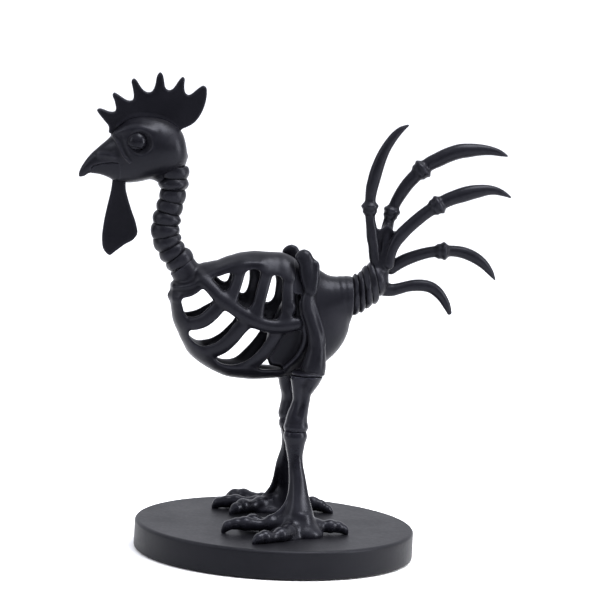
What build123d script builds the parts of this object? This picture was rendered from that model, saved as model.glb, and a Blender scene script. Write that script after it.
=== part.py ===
from build123d import *
import math
import os

os.makedirs("parts", exist_ok=True)

# Skeleton rooster ornament on a round plinth. Millimetres.
# Origin: centre of the felt underside. -X is the beak, +X the tail, -Y the bird's left side, +Z up.

# ---------------------------------------------------------------- driving dimensions
PLINTH_R = 86.0
PLINTH_TOP = 18.0
PLINTH_GAP = 0.6          # plinth board stands this far above the table on its felt
PLINTH_EDGE = 1.8         # eased edge
FELT_R = 80.0
FELT_T = 1.6
SCREW_R = 2.0
SCREW_HEAD_R = 3.6
SCREW_HEAD_H = 2.4
SCREW_HEAD_Z = 3.0        # underside of the screw head above the table
WASHER_R = 4.2
WASHER_T = 0.8
CBORE_R = 4.8
SCREW_TIP_Z = 29.0
DOWEL_R = 2.0
DOWEL_HALF = 6.5
ROD_R = 1.6               # neck and tail rods
WALL = 4.6                # rib cage wall
BAR_W = {"left": 6.8, "right": 9.0}     # side bar heights
COMB_T = 5.0
WATTLE_T = 5.0
KNEE_Z = 116.0
ANKLE_Z = 81.0
EYE_R = 5.7
FIT = 0.05                # clearance of pins in their holes

# body barrel stations: x, top z, bottom z, half width
BARREL = [(-71.5, 165, 154, 4.4), (-69, 168.6, 146, 8.0), (-64, 174, 134.5, 12.2), (-57, 179.5, 124.5, 16.2),
          (-48, 181.7, 117.4, 19), (-36, 185.6, 112.0, 20.8), (-20, 188.5, 109.4, 21.4), (-5, 188.0, 110.3, 20.6),
          (8, 182.7, 112.7, 18.6), (20, 176.8, 117, 16.2), (29, 171, 123.8, 13.6), (36, 163, 132.6, 9),
          (39.3, 154, 141, 4)]

# side-view outlines on the barrel, x z
COLLAR_EDGE = [(-68.0, 158.6), (-65.0, 160.2), (-59.8, 162.1), (-55.1, 165.1), (-51.6, 168.6), (-47.5, 175.5), (-45.5, 187.0)]
SPINE_EDGE = [(-52.2, 172.0), (-44.6, 173.5), (-37.2, 176.7), (-26.4, 179.7), (-18.1, 180.2), (-10.7, 178.7),
              (0.0, 176.0), (10.3, 172.9)]
KEEL_EDGE = [(-68.4, 160.5), (-66.4, 155.0), (-63.1, 142.1), (-60.9, 135.8), (-55.4, 129.6), (-47.8, 123.8),
             (-39.0, 119.6), (-27.7, 117.0), (-17.9, 116.6), (-6.1, 116.6), (3.0, 117.0)]
PELVIS_EDGE = [(6.0, 195.0), (6.0, 173.5), (8.0, 160.0), (9.7, 147.1), (11.4, 139.6), (10.4, 132.5), (7.9, 126.5),
               (0.8, 118.2), (-3.5, 104.0)]
PELVIS_CORE = [(-2.0, 181.0), (-2.0, 158.0), (-6.0, 149.0), (-10.0, 138.0), (-11.0, 130.0), (-9.2, 123.4),
               (-5.5, 119.6), (4.0, 117.5), (22.0, 119.0), (22.0, 181.0)]
CORE_HALF = 8.0
BAR_LINE = {
    "left": [(-54.5, 174.4), (-48.3, 169.1), (-43.7, 163.9), (-37.1, 158.2), (-29.6, 153.0), (-21.0, 148.3),
             (-11.6, 145.8), (-2.2, 145.8), (6.0, 147.4), (12.0, 148.6)],
    "right": [(-54.5, 174.7), (-49.7, 171.3), (-42.0, 164.6), (-35.4, 160.3), (-27.5, 155.6), (-22.4, 153.7),
              (-11.0, 150.5), (-4.1, 150.0), (6.0, 151.1), (12.0, 152.3)],
}
RIBS = {
    "left": {
        "upper_rib_1": ([(-30.2, 183.0), (-31.3, 178.5), (-33.0, 172.7), (-34.6, 167.3), (-37.2, 160.0)], 5.4),
        "upper_rib_2": ([(-14.6, 183.6), (-15.0, 178.0), (-17.2, 169.2), (-19.1, 161.4), (-20.6, 151.5)], 6.0),
        "upper_rib_3": ([(-0.8, 182.7), (-0.6, 176.5), (-1.0, 167.8), (-0.9, 158.7), (-1.4, 149.5)], 5.8),
        "lower_rib_1": ([(-38.7, 160.6), (-43.1, 156.5), (-47.3, 151.3), (-53.0, 146.3), (-57.5, 144.4), (-62.6, 143.8),
                         (-67.8, 144.0)], 7.2),
        "lower_rib_2": ([(-23.0, 151.5), (-26.6, 146.9), (-29.8, 143.3), (-34.7, 136.4), (-40.9, 130.0), (-46.4, 127.1),
                         (-53.7, 125.3)], 7.2),
        "lower_rib_3": ([(-2.9, 146.4), (-7.1, 139.7), (-11.0, 132.1), (-15.0, 126.1), (-21.0, 119.8), (-26.7, 116.6),
                         (-33.2, 113.8)], 6.8),
    },
    "right": {
        "upper_rib_1": ([(-28.4, 183.5), (-28.9, 179.6), (-29.8, 174.1), (-30.5, 169.4), (-30.7, 164.8), (-31.9, 157.5)], 5.6),
        "upper_rib_2": ([(-19.5, 184.0), (-18.9, 179.9), (-17.8, 173.8), (-17.4, 168.2), (-18.1, 161.6), (-19.7, 153.0)], 6.0),
        "upper_rib_3": ([(-4.0, 182.5), (-3.2, 177.9), (-1.7, 172.6), (-0.8, 168.7), (-0.8, 161.5), (-2.0, 151.5)], 6.0),
        "lower_rib_1": ([(-36.5, 161.5), (-39.0, 154.0), (-41.6, 150.6), (-46.0, 147.9), (-52.9, 144.5), (-58.0, 143.5),
                         (-67.0, 144.0)], 7.0),
        "lower_rib_2": ([(-21.5, 154.5), (-23.8, 145.0), (-26.7, 139.6), (-30.6, 135.2), (-35.4, 130.8), (-43.1, 126.8),
                         (-51.4, 125.6), (-58.0, 124.5)], 7.0),
        "lower_rib_3": ([(-4.5, 151.0), (-6.3, 144.1), (-9.6, 134.7), (-13.4, 129.0), (-19.1, 122.6), (-25.1, 117.5),
                         (-32.6, 114.2)], 6.8),
    },
}

# neck and tail rings: x, z, radius of each ring, head to body and body to hub
NECK = [(-73.2, 236.0, 8.8), (-73.3, 228.6, 9.2), (-73.4, 221.3, 8.4), (-74.8, 214.2, 8.3), (-76.5, 206.9, 8.8),
        (-77.0, 199.6, 9.1), (-75.5, 192.7, 9.2), (-72.3, 186.7, 9.4), (-68.1, 181.2, 9.7)]
NECK_TOP = (-73.1, 243.4)
NECK_END = (-63.6, 175.8)
NECK_FOOT = [(0.0, 8.8), (5.2, 9.5), (10.6, 10.6)]     # flare below the last ring: distance along, radius
# tail ring faces, body to hub: top x z, bottom x z
TAIL_FACES = [((40.7, 173.6), (41.2, 150.6)), ((43.6, 176.0), (45.4, 152.4)), ((46.6, 178.8), (49.6, 154.8)),
              ((49.6, 181.8), (53.8, 157.8)), ((52.6, 184.6), (58.0, 161.6))]
RING_WAIST = 1.7          # depth of the groove between two neck rings
TAIL_WAIST = 1.3          # depth of the groove between two tail rings

# leg stations: x, y, z, radius; thighs have two radii, along x and along y
LEFT_THIGH = [(8.3, -9.4, 192.2, 1.6, 1.2), (9.3, -10.0, 187.2, 6.3, 2.8), (11.0, -11.4, 180.0, 5.9, 2.8),
              (12.2, -13.9, 171.0, 4.2, 2.8), (12.6, -16.2, 163.0, 3.6, 3.2), (12.8, -17.8, 155.0, 4.0, 3.8),
              (14.6, -19.6, 149.5, 4.0, 3.9), (16.9, -21.3, 142.0, 4.5, 4.4), (18.0, -21.5, 133.0, 5.4, 5.2),
              (17.0, -21.6, 124.0, 6.6, 6.4), (16.2, -21.6, 119.0, 6.8, 6.8), (15.8, -21.6, KNEE_Z, 6.5, 6.5)]
LEFT_SHANK = [(13.0, -21.6, KNEE_Z, 9.8), (12.2, -21.6, 113.6, 9.3), (11.0, -21.6, 109.2, 7.1), (10.4, -21.7, 105.0, 5.7),
              (9.8, -21.8, 100.0, 5.0), (8.9, -22.0, 95.5, 5.3), (7.7, -22.1, 89.5, 6.2), (7.4, -22.2, 84.0, 6.8),
              (7.2, -22.3, ANKLE_Z, 6.4)]
LEFT_TARSUS = [(7.2, -22.4, ANKLE_Z, 6.4), (7.4, -22.9, 77.0, 6.5), (7.3, -24.0, 72.0, 5.7), (7.4, -25.3, 67.0, 4.8),
               (8.1, -27.0, 60.0, 4.2), (9.0, -29.2, 52.0, 4.6), (9.7, -31.3, 44.0, 5.5), (10.2, -33.0, 37.5, 7.0),
               (10.5, -34.2, 31.0, 9.2), (10.9, -34.6, 25.0, 10.6), (11.2, -34.8, PLINTH_TOP, 11.2)]
LEFT_TOES = [
    [(8.0, -34.6, 26.5, 7.5), (-6.0, -35.2, 25.0, 5.0), (-16.0, -35.8, 24.2, 4.2), (-25.0, -36.2, 24.9, 4.5),
     (-35.2, -36.6, 20.2, 1.6)],
    [(9.0, -37.0, 26.0, 7.5), (-1.0, -53.0, 24.6, 5.4), (-9.0, -61.0, 23.6, 4.4), (-15.0, -65.0, 23.4, 3.8),
     (-20.0, -68.0, 19.6, 1.2)],
    [(8.0, -33.0, 26.0, 7.0), (-4.0, -29.0, 25.0, 4.8), (-13.0, -25.6, 23.4, 4.2), (-19.0, -22.8, 24.0, 4.0),
     (-23.4, -21.0, 19.2, 1.1)],
    [(12.0, -34.5, 25.0, 7.0), (22.0, -32.8, 24.4, 4.8), (30.0, -31.4, 24.8, 4.1), (36.0, -30.4, 24.0, 3.6),
     (41.0, -29.9, 19.6, 1.2)],
]
RIGHT_THIGH = [(2.7, 9.4, 192.2, 1.6, 1.2), (3.7, 10.0, 187.2, 6.3, 2.8), (6.0, 11.4, 180.0, 5.9, 2.8),
               (8.2, 13.9, 171.0, 4.2, 2.8), (9.6, 16.2, 163.0, 3.6, 3.2), (10.4, 17.8, 155.0, 4.0, 3.8),
               (12.4, 19.6, 149.5, 4.0, 3.9), (14.7, 21.3, 142.0, 4.5, 4.4), (15.6, 21.5, 133.0, 5.4, 5.2),
               (14.5, 21.6, 124.0, 6.6, 6.4), (13.6, 21.6, 119.0, 6.8, 6.8), (13.2, 21.6, KNEE_Z, 6.5, 6.5)]
RIGHT_SHANK = [(10.0, 21.6, KNEE_Z, 9.8), (9.4, 21.6, 113.6, 9.3), (8.4, 21.7, 109.6, 7.4), (7.7, 21.8, 106.0, 5.9),
               (8.1, 22.0, 101.5, 5.1), (9.1, 22.2, 97.5, 5.1), (10.0, 22.5, 92.0, 5.8), (9.9, 22.8, 86.0, 6.7),
               (9.9, 23.0, ANKLE_Z, 6.4)]
RIGHT_TARSUS = [(9.9, 23.0, ANKLE_Z, 6.4), (9.9, 23.8, 77.5, 6.5), (10.5, 25.2, 72.5, 5.6), (10.6, 27.0, 67.0, 4.8),
                (10.2, 29.0, 61.0, 4.3), (9.6, 31.0, 55.0, 4.4), (9.1, 33.5, 48.5, 5.0), (9.2, 36.0, 42.5, 5.8),
                (9.4, 38.3, 37.0, 7.0), (9.5, 40.3, 31.0, 9.2), (9.5, 41.4, 25.0, 10.6), (9.5, 41.8, PLINTH_TOP, 11.2)]
RIGHT_TOES = [
    [(6.0, 42.0, 26.0, 7.2), (-7.0, 42.2, 23.2, 4.6), (-16.0, 42.2, 22.9, 4.1), (-25.0, 42.0, 23.0, 4.1),
     (-33.8, 41.6, 19.6, 1.2)],
    [(6.0, 43.0, 26.0, 7.0), (-1.0, 53.0, 23.8, 5.2), (-8.0, 61.0, 22.6, 4.4), (-13.5, 66.5, 22.4, 4.0),
     (-18.6, 72.2, 19.4, 1.2)],
    [(6.0, 40.5, 26.0, 7.0), (-5.0, 35.8, 24.4, 4.8), (-13.0, 31.0, 23.0, 4.2), (-19.5, 26.4, 23.0, 4.0),
     (-25.0, 22.2, 19.4, 1.2)],
    [(10.0, 42.0, 25.0, 7.0), (20.0, 41.0, 24.0, 4.8), (28.0, 39.5, 23.2, 4.1), (34.0, 37.8, 21.8, 3.4),
     (40.0, 36.2, 19.4, 1.2)],
]
LEFT_SCREWS = [(6.0, -34.5), (16.0, -34.5)]
RIGHT_SCREWS = [(4.0, 41.5), (14.0, 41.5)]

# skull stations: x, top z, bottom z, half width
SKULL = [(-66.3, 250.0, 241.0, 3.5), (-69.5, 260.5, 237.5, 9.5), (-75.0, 266.0, 234.0, 13.2), (-84.0, 269.2, 231.6, 15.4),
         (-94.0, 269.9, 230.2, 15.0), (-102.0, 268.3, 229.2, 12.4), (-108.5, 264.0, 229.0, 9.0), (-114.0, 255.2, 231.0, 6.2),
         (-120.0, 249.2, 233.0, 4.2), (-125.0, 243.8, 233.4, 2.8), (-128.5, 238.4, 231.9, 1.8), (-130.6, 233.4, 231.3, 0.8)]
JAW_REGION = [(-123.4, 226.0), (-123.4, 233.8), (-122.4, 237.1), (-107.8, 238.2), (-103.0, 236.0), (-98.0, 231.5),
              (-95.5, 224.0)]
EYE_X, EYE_Y, EYE_Z = -98.0, 8.9, 254.9
SOCKET_X, SOCKET_Y, SOCKET_Z, SOCKET_R = -97.1, 19.0, 255.3, 9.2
COMB_EDGE = [(-113.3, 258.9), (-113.5, 262.6), (-115.9, 266.5), (-118.5, 269.3), (-120.5, 271.2), (-121.2, 271.8),
             (-120.6, 272.6), (-118.1, 272.4), (-115.6, 271.5), (-113.2, 271.1), (-111.0, 271.6), (-110.4, 272.8),
             (-110.7, 275.3), (-111.8, 278.9), (-112.8, 281.1), (-112.8, 282.3), (-112.1, 283.0), (-110.8, 282.5),
             (-107.7, 280.6), (-104.2, 278.7), (-102.2, 278.4), (-100.5, 279.0), (-99.9, 280.6), (-100.1, 283.3),
             (-101.1, 287.7), (-101.7, 290.1), (-101.4, 291.5), (-100.5, 292.2), (-99.4, 291.5), (-97.3, 288.6),
             (-94.7, 285.5), (-92.2, 284.1), (-90.7, 284.0), (-88.8, 284.9), (-87.7, 286.8), (-86.9, 289.8),
             (-86.4, 293.7), (-85.6, 295.7), (-84.6, 296.6), (-83.4, 295.5), (-82.7, 293.4), (-82.1, 290.4),
             (-81.3, 287.5), (-80.0, 286.2), (-78.3, 285.8), (-76.6, 286.5), (-75.2, 288.0), (-73.4, 291.0),
             (-71.8, 293.3), (-70.6, 294.3), (-69.8, 293.6), (-69.8, 290.9), (-69.7, 287.5), (-68.9, 284.8),
             (-67.6, 283.6), (-66.1, 283.4), (-64.2, 284.4), (-61.8, 286.6), (-59.5, 288.5), (-57.8, 289.4),
             (-56.3, 288.6), (-55.8, 286.1), (-55.9, 282.1), (-56.9, 277.2), (-58.7, 272.6), (-61.0, 268.9),
             (-63.8, 266.0), (-67.6, 263.9), (-70.2, 262.5), (-71.0, 261.0)]
COMB_ROOT = [(-75.5, 259.5), (-84.5, 263.5), (-95.0, 264.2), (-105.0, 260.5), (-110.5, 257.0)]
WATTLE = [(-110.9, 230.4), (-111.2, 225.0), (-112.0, 219.8), (-113.4, 212.8), (-115.2, 200.9), (-115.6, 193.0),
          (-114.1, 186.0), (-110.4, 183.1), (-107.4, 185.2), (-101.4, 190.0), (-96.0, 193.5), (-94.0, 196.9),
          (-94.9, 202.5), (-98.4, 211.8), (-100.9, 219.0), (-102.4, 224.5), (-102.6, 230.0)]
WATTLE_TENON = (-106.8, 228.5, 4.2, 9.0)     # x, z, width, height

# tail quills: x, z, half width in the side view at each station; then y and knuckles (station number, radius)
QUILLS = {
    "tail_quill_1": ([(54.0, 186.2, 3.4), (52.0, 195.0, 3.6), (50.6, 205.2, 3.3), (49.0, 215.4, 3.0), (48.8, 220.6, 3.1),
                      (48.9, 225.7, 3.3), (50.4, 235.9, 3.8), (52.9, 245.8, 3.7), (56.5, 255.1, 3.1), (61.9, 263.7, 2.5),
                      (65.4, 267.4, 1.9), (69.7, 270.3, 0.8)],
                     -1.8, [(4, 4.9)]),
    "tail_quill_2": ([(58.8, 185.2, 3.3), (59.8, 193.0, 3.5), (60.5, 200.0, 3.7), (62.0, 210.1, 3.3), (63.6, 214.8, 3.3), (67.0, 224.3, 3.6),
                      (72.1, 232.8, 3.9), (80.3, 242.0, 4.1), (90.6, 249.1, 4.5), (99.3, 253.3, 4.6), (109.0, 255.5, 4.3),
                      (118.9, 256.1, 3.2), (128.8, 254.6, 1.9), (133.4, 253.0, 0.8)],
                     4.4, [(4, 4.8), (7, 5.9)]),
    "tail_quill_3": ([(62.6, 184.2, 3.4), (64.7, 191.8, 3.7), (66.6, 198.3, 3.9), (72.4, 206.6, 3.8), (79.7, 213.6, 3.8), (90.0, 221.4, 3.8),
                      (101.2, 227.3, 4.4), (110.9, 230.5, 4.4), (121.1, 232.4, 3.2), (130.9, 230.7, 1.7), (135.5, 228.5, 0.8)],
                     -4.4, [(5, 5.5)]),
    "tail_quill_4": ([(66.2, 181.8, 3.3), (73.1, 186.1, 3.8), (82.9, 190.0, 3.5), (95.7, 192.4, 3.4), (103.7, 192.7, 3.4),
                      (114.1, 190.3, 3.6), (123.3, 184.3, 2.8), (126.9, 180.2, 1.9), (129.8, 176.1, 0.8)],
                     2.2, [(3, 5.0)]),
    "tail_quill_5": ([(59.0, 168.3, 4.0), (65.2, 167.5, 3.8), (74.7, 170.0, 3.4), (84.8, 171.0, 3.4), (94.1, 167.1, 3.3),
                      (100.3, 158.8, 2.3), (102.2, 154.6, 1.3)],
                     -0.8, []),
}
# tail hub: a cone on the last ring face and a stub up to the quills; centre x z, direction x z, radius
HUB_CONE = [(55.3, 173.1, 0.973, 0.229, 10.2), (59.0, 174.0, 0.973, 0.229, 9.0), (62.6, 174.8, 0.973, 0.229, 5.4)]
HUB_STUB = [(59.4, 173.4, 0.1, 0.995, 5.6), (60.6, 182.2, 0.1, 0.995, 7.2), (61.2, 189.5, 0.1, 0.995, 5.6)]


def offset_curve(points, dist):
    """Points moved sideways from an open side-view line by dist."""
    out = []
    for i, (x, z) in enumerate(points):
        xa, za = points[max(i - 1, 0)]
        xb, zb = points[min(i + 1, len(points) - 1)]
        length = math.hypot(xb - xa, zb - za)
        out.append((x - (zb - za) / length * dist, z + (xb - xa) / length * dist))
    return out


def tangents(points):
    """Unit directions along an open side-view line, as 3-D vectors."""
    out = []
    for i in range(len(points)):
        xa, za = points[max(i - 1, 0)][:2]
        xb, zb = points[min(i + 1, len(points) - 1)][:2]
        length = math.hypot(xb - xa, zb - za)
        out.append(((xb - xa) / length, 0, (zb - za) / length))
    return out


# ---------------------------------------------------------------- plinth and what is under it
with BuildPart() as base_plinth:
    with BuildSketch(Plane.XY.offset(PLINTH_GAP)):
        Circle(PLINTH_R)
    extrude(amount=PLINTH_TOP - PLINTH_GAP)
    fillet(base_plinth.edges().filter_by(GeomType.CIRCLE), radius=PLINTH_EDGE)
    with BuildSketch(Plane.XY.offset(PLINTH_GAP)):
        Circle(FELT_R + 0.2)
    extrude(amount=FELT_T - PLINTH_GAP, mode=Mode.SUBTRACT)
    with BuildSketch(Plane.XY.offset(FELT_T)):
        with Locations(*LEFT_SCREWS, *RIGHT_SCREWS):
            Circle(CBORE_R)
    extrude(amount=SCREW_HEAD_Z + SCREW_HEAD_H + WASHER_T - FELT_T, mode=Mode.SUBTRACT)
    with BuildSketch(Plane.XY.offset(FELT_T)):
        with Locations(*LEFT_SCREWS, *RIGHT_SCREWS):
            Circle(SCREW_R + 0.25)
    extrude(amount=PLINTH_TOP, mode=Mode.SUBTRACT)
base_plinth.part.label = "base_plinth"
export_step(base_plinth.part, "parts/base_plinth.step")

with BuildPart() as base_felt_pad:
    with BuildSketch():
        Circle(FELT_R)
    extrude(amount=FELT_T)
base_felt_pad.part.label = "base_felt_pad"
export_step(base_felt_pad.part, "parts/base_felt_pad.step")

with BuildPart() as foot_screws:
    with BuildSketch(Plane.XY.offset(SCREW_HEAD_Z)):
        with Locations(*LEFT_SCREWS, *RIGHT_SCREWS):
            Circle(SCREW_HEAD_R)
    extrude(amount=SCREW_HEAD_H)
    with BuildSketch(Plane.XY.offset(SCREW_HEAD_Z + SCREW_HEAD_H)):
        with Locations(*LEFT_SCREWS, *RIGHT_SCREWS):
            Circle(SCREW_R)
    extrude(amount=SCREW_TIP_Z - SCREW_HEAD_Z - SCREW_HEAD_H)
    with BuildSketch(Plane.XY.offset(SCREW_HEAD_Z)):
        with Locations(*LEFT_SCREWS, *RIGHT_SCREWS):
            Rectangle(4.6, 0.9)
            Rectangle(0.9, 4.6)
    extrude(amount=1.3, mode=Mode.SUBTRACT)
foot_screws.part.label = "foot_screws"
export_step(foot_screws.part, "parts/foot_screws.step")

with BuildPart() as foot_washers:
    with BuildSketch(Plane.XY.offset(SCREW_HEAD_Z + SCREW_HEAD_H)):
        with Locations(*LEFT_SCREWS, *RIGHT_SCREWS):
            Circle(WASHER_R)
            Circle(SCREW_R + 0.15, mode=Mode.SUBTRACT)
    extrude(amount=WASHER_T)
foot_washers.part.label = "foot_washers"
export_step(foot_washers.part, "parts/foot_washers.step")

# ---------------------------------------------------------------- legs
LEG_DOWELS = [(7.2, -22.4, ANKLE_Z), (14.6, -21.6, KNEE_Z), (9.9, 23.0, ANKLE_Z), (12.0, 21.6, KNEE_Z)]
with BuildPart() as leg_dowels:
    for x, y, z in LEG_DOWELS:
        with BuildSketch(Plane.XY.offset(z - DOWEL_HALF)):
            with Locations((x, y)):
                Circle(DOWEL_R)
        extrude(amount=2 * DOWEL_HALF)
leg_dowels.part.label = "leg_dowels"
export_step(leg_dowels.part, "parts/leg_dowels.step")

for side, tarsus, toes, screws in (("left", LEFT_TARSUS, LEFT_TOES, LEFT_SCREWS),
                                   ("right", RIGHT_TARSUS, RIGHT_TOES, RIGHT_SCREWS)):
    with BuildPart() as foot:
        for x, y, z, r in tarsus:
            with BuildSketch(Plane(origin=(x, y, z))):
                Circle(r)
        loft()
        for toe in toes:
            # each toe is lofted along its plan direction and ends in a claw on the plinth
            hx, hy = toe[-1][0] - toe[0][0], toe[-1][1] - toe[0][1]
            length = math.hypot(hx, hy)
            for i, (x, y, z, r) in enumerate(toe):
                droop = -0.95 if i == len(toe) - 1 else (-0.25 if i == len(toe) - 2 else 0.0)
                with BuildSketch(Plane(origin=(x, y, z), x_dir=(-hy / length, hx / length, 0),
                                       z_dir=(hx / length, hy / length, droop))):
                    Circle(r)
            loft()
        with BuildSketch(Plane.XY.offset(PLINTH_TOP)):
            Rectangle(300, 300)
        extrude(amount=-30, mode=Mode.SUBTRACT)
        with BuildSketch(Plane.XY.offset(PLINTH_TOP)):
            with Locations(*screws):
                Circle(SCREW_R + FIT)
        extrude(amount=SCREW_TIP_Z + 1.0 - PLINTH_TOP, mode=Mode.SUBTRACT)
        with BuildSketch(Plane.XY.offset(ANKLE_Z)):
            with Locations((tarsus[0][0], tarsus[0][1])):
                Circle(DOWEL_R + FIT)
        extrude(amount=-DOWEL_HALF - 0.5, mode=Mode.SUBTRACT)
    foot.part.label = side + "_foot"
    export_step(foot.part, "parts/" + side + "_foot.step")

for side, stations in (("left", LEFT_SHANK), ("right", RIGHT_SHANK)):
    with BuildPart() as shank:
        for x, y, z, r in stations:
            with BuildSketch(Plane(origin=(x, y, z))):
                Circle(r)
        loft()
        for x, y, z in LEG_DOWELS:
            with BuildSketch(Plane.XY.offset(z - DOWEL_HALF - 0.5)):
                with Locations((x, y)):
                    Circle(DOWEL_R + FIT)
            extrude(amount=2 * DOWEL_HALF + 1.0, mode=Mode.SUBTRACT)
    shank.part.label = side + "_shank"
    export_step(shank.part, "parts/" + side + "_shank.step")

thighs = []
for side, stations in (("left", LEFT_THIGH), ("right", RIGHT_THIGH)):
    with BuildPart() as thigh:
        for x, y, z, rx, ry in stations:
            with BuildSketch(Plane(origin=(x, y, z))):
                Ellipse(rx, ry)
        loft()
        for x, y, z in LEG_DOWELS:
            with BuildSketch(Plane.XY.offset(z)):
                with Locations((x, y)):
                    Circle(DOWEL_R + FIT)
            extrude(amount=DOWEL_HALF + 0.5, mode=Mode.SUBTRACT)
    thigh.part.label = side + "_thigh"
    export_step(thigh.part, "parts/" + side + "_thigh.step")
    thighs.append(thigh.part)

# ---------------------------------------------------------------- rib cage
with BuildPart() as barrel:
    for x, top, bottom, half in BARREL:
        with BuildSketch(Plane(origin=(x, 0, (top + bottom) / 2), x_dir=(0, 1, 0), z_dir=(1, 0, 0))):
            Ellipse(half, (top - bottom) / 2)
    loft()

with BuildPart() as barrel_wall:
    add(barrel.part)
    for x, top, bottom, half in BARREL[1:-3]:
        shift = WALL if x < -66 else (WALL * 0.5 if x < -60 else 0.0)
        inset = WALL if x > -66 else WALL * 0.9
        with BuildSketch(Plane(origin=(x + shift, 0, (top + bottom) / 2), x_dir=(0, 1, 0), z_dir=(1, 0, 0))):
            Ellipse(half - inset, (top - bottom) / 2 - inset)
    loft(mode=Mode.SUBTRACT)

# side-view regions that divide the wall into its pieces
with BuildSketch() as collar_region:
    with BuildLine():
        s = Spline(*COLLAR_EDGE)
        Polyline(s @ 1, (-45.5, 205), (-95, 205), (-95, 158.8), s @ 0)
    make_face()
with BuildSketch() as pelvis_region:
    with BuildLine():
        s = Polyline(*PELVIS_EDGE)
        Polyline(s @ 1, (80, 104), (80, 195), s @ 0)
    make_face()
with BuildSketch() as keel_region:
    with BuildLine():
        s = Spline(*KEEL_EDGE)
        Polyline(s @ 1, (3.0, 95), (-95, 95), (-95, 160.5), s @ 0)
    make_face()
    add(collar_region.sketch_local, mode=Mode.SUBTRACT)
    add(pelvis_region.sketch_local, mode=Mode.SUBTRACT)
with BuildSketch() as spine_region:
    with BuildLine():
        s = Spline(*SPINE_EDGE)
        Polyline(s @ 1, (12, 205), (-53.5, 205), s @ 0)
    make_face()
    add(collar_region.sketch_local, mode=Mode.SUBTRACT)
    add(pelvis_region.sketch_local, mode=Mode.SUBTRACT)
bar_regions = {}
for side, line in BAR_LINE.items():
    with BuildSketch() as bar_region:
        with BuildLine():
            a = Spline(*offset_curve(line, BAR_W[side] / 2))
            b = Spline(*offset_curve(line, -BAR_W[side] / 2))
            Line(a @ 0, b @ 0)
            Line(a @ 1, b @ 1)
        make_face()
        for region in (collar_region, pelvis_region, spine_region):
            add(region.sketch_local, mode=Mode.SUBTRACT)
    bar_regions[side] = bar_region

neck_path = [NECK_TOP] + [(x, z) for x, z, r in NECK] + [NECK_END, (-57.5, 167.6)]
with BuildPart() as neck_rod:
    with BuildLine() as rod_line:
        FilletPolyline(*[(x, 0, z) for x, z in neck_path[::2]] + [(neck_path[-1][0], 0, neck_path[-1][1])], radius=9)
    with BuildSketch(Plane(origin=rod_line.line @ 0, z_dir=rod_line.line % 0)):
        Circle(ROD_R)
    sweep()
neck_rod.part.label = "neck_rod"
export_step(neck_rod.part, "parts/neck_rod.step")

with BuildPart() as neck_collar:
    with BuildSketch(Plane.XZ):
        add(collar_region.sketch_local)
    extrude(amount=60, both=True)
    add(barrel.part, mode=Mode.INTERSECT)
    # flared foot under the last neck ring
    foot_x, foot_z = (NECK[-1][0] + NECK_END[0]) / 2, (NECK[-1][1] + NECK_END[1]) / 2
    foot_dx, foot_dz = NECK_END[0] - NECK[-1][0], NECK_END[1] - NECK[-1][1]
    length = math.hypot(foot_dx, foot_dz)
    for along, r in NECK_FOOT:
        with BuildSketch(Plane(origin=(foot_x + foot_dx / length * along, 0, foot_z + foot_dz / length * along),
                               x_dir=(0, 1, 0), z_dir=(foot_dx, 0, foot_dz))):
            Circle(r)
    loft()
    add(neck_rod.part, mode=Mode.SUBTRACT)
neck_collar.part.label = "neck_collar"
export_step(neck_collar.part, "parts/neck_collar.step")

with BuildPart() as spine_bar:
    with BuildSketch(Plane.XZ):
        add(spine_region.sketch_local)
    extrude(amount=60, both=True)
    add(barrel_wall.part, mode=Mode.INTERSECT)
    for t in thighs:
        add(t, mode=Mode.SUBTRACT)
spine_bar.part.label = "spine_bar"
export_step(spine_bar.part, "parts/spine_bar.step")

with BuildPart() as breast_keel:
    with BuildSketch(Plane.XZ):
        add(keel_region.sketch_local)
    extrude(amount=60, both=True)
    add(barrel_wall.part, mode=Mode.INTERSECT)
breast_keel.part.label = "breast_keel"
export_step(breast_keel.part, "parts/breast_keel.step")

for side, reach in (("left", 60), ("right", -60)):
    with BuildPart() as side_bar:
        with BuildSketch(Plane.XZ):
            add(bar_regions[side].sketch_local)
        extrude(amount=reach)
        add(barrel_wall.part, mode=Mode.INTERSECT)
        for t in thighs:
            add(t, mode=Mode.SUBTRACT)
    side_bar.part.label = side + "_side_bar"
    export_step(side_bar.part, "parts/" + side + "_side_bar.step")
    for name, (line, width) in RIBS[side].items():
        with BuildPart() as rib:
            with BuildSketch(Plane.XZ):
                with BuildLine():
                    a = Spline(*offset_curve(line, width / 2))
                    b = Spline(*offset_curve(line, -width / 2))
                    Line(a @ 0, b @ 0)
                    Line(a @ 1, b @ 1)
                make_face()
                for region in (collar_region, pelvis_region, spine_region, keel_region, bar_regions[side]):
                    add(region.sketch_local, mode=Mode.SUBTRACT)
            extrude(amount=reach)
            add(barrel_wall.part, mode=Mode.INTERSECT)
            if len(rib.part.solids()) > 1:
                add(rib.part.solids().sort_by(SortBy.VOLUME)[-1], mode=Mode.INTERSECT)
        rib.part.label = side + "_" + name
        export_step(rib.part, "parts/" + side + "_" + name + ".step")

# ---------------------------------------------------------------- tail rings and pelvis
faces = []
for (tx, tz), (bx, bz) in TAIL_FACES:
    half = math.hypot(tx - bx, tz - bz) / 2
    faces.append((((tx + bx) / 2, 0, (tz + bz) / 2), ((tz - bz) / half / 2, 0, (bx - tx) / half / 2), half))
with BuildPart() as tail_rod:
    with BuildLine() as rod_line:
        FilletPolyline((24.0, 0, 153.0), (41.0, 0, 162.1), (51.7, 0, 169.8), (58.5, 0, 175.5), radius=12)
    with BuildSketch(Plane(origin=rod_line.line @ 0, z_dir=rod_line.line % 0)):
        Circle(ROD_R)
    sweep()
tail_rod.part.label = "tail_rod"
export_step(tail_rod.part, "parts/tail_rod.step")

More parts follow.
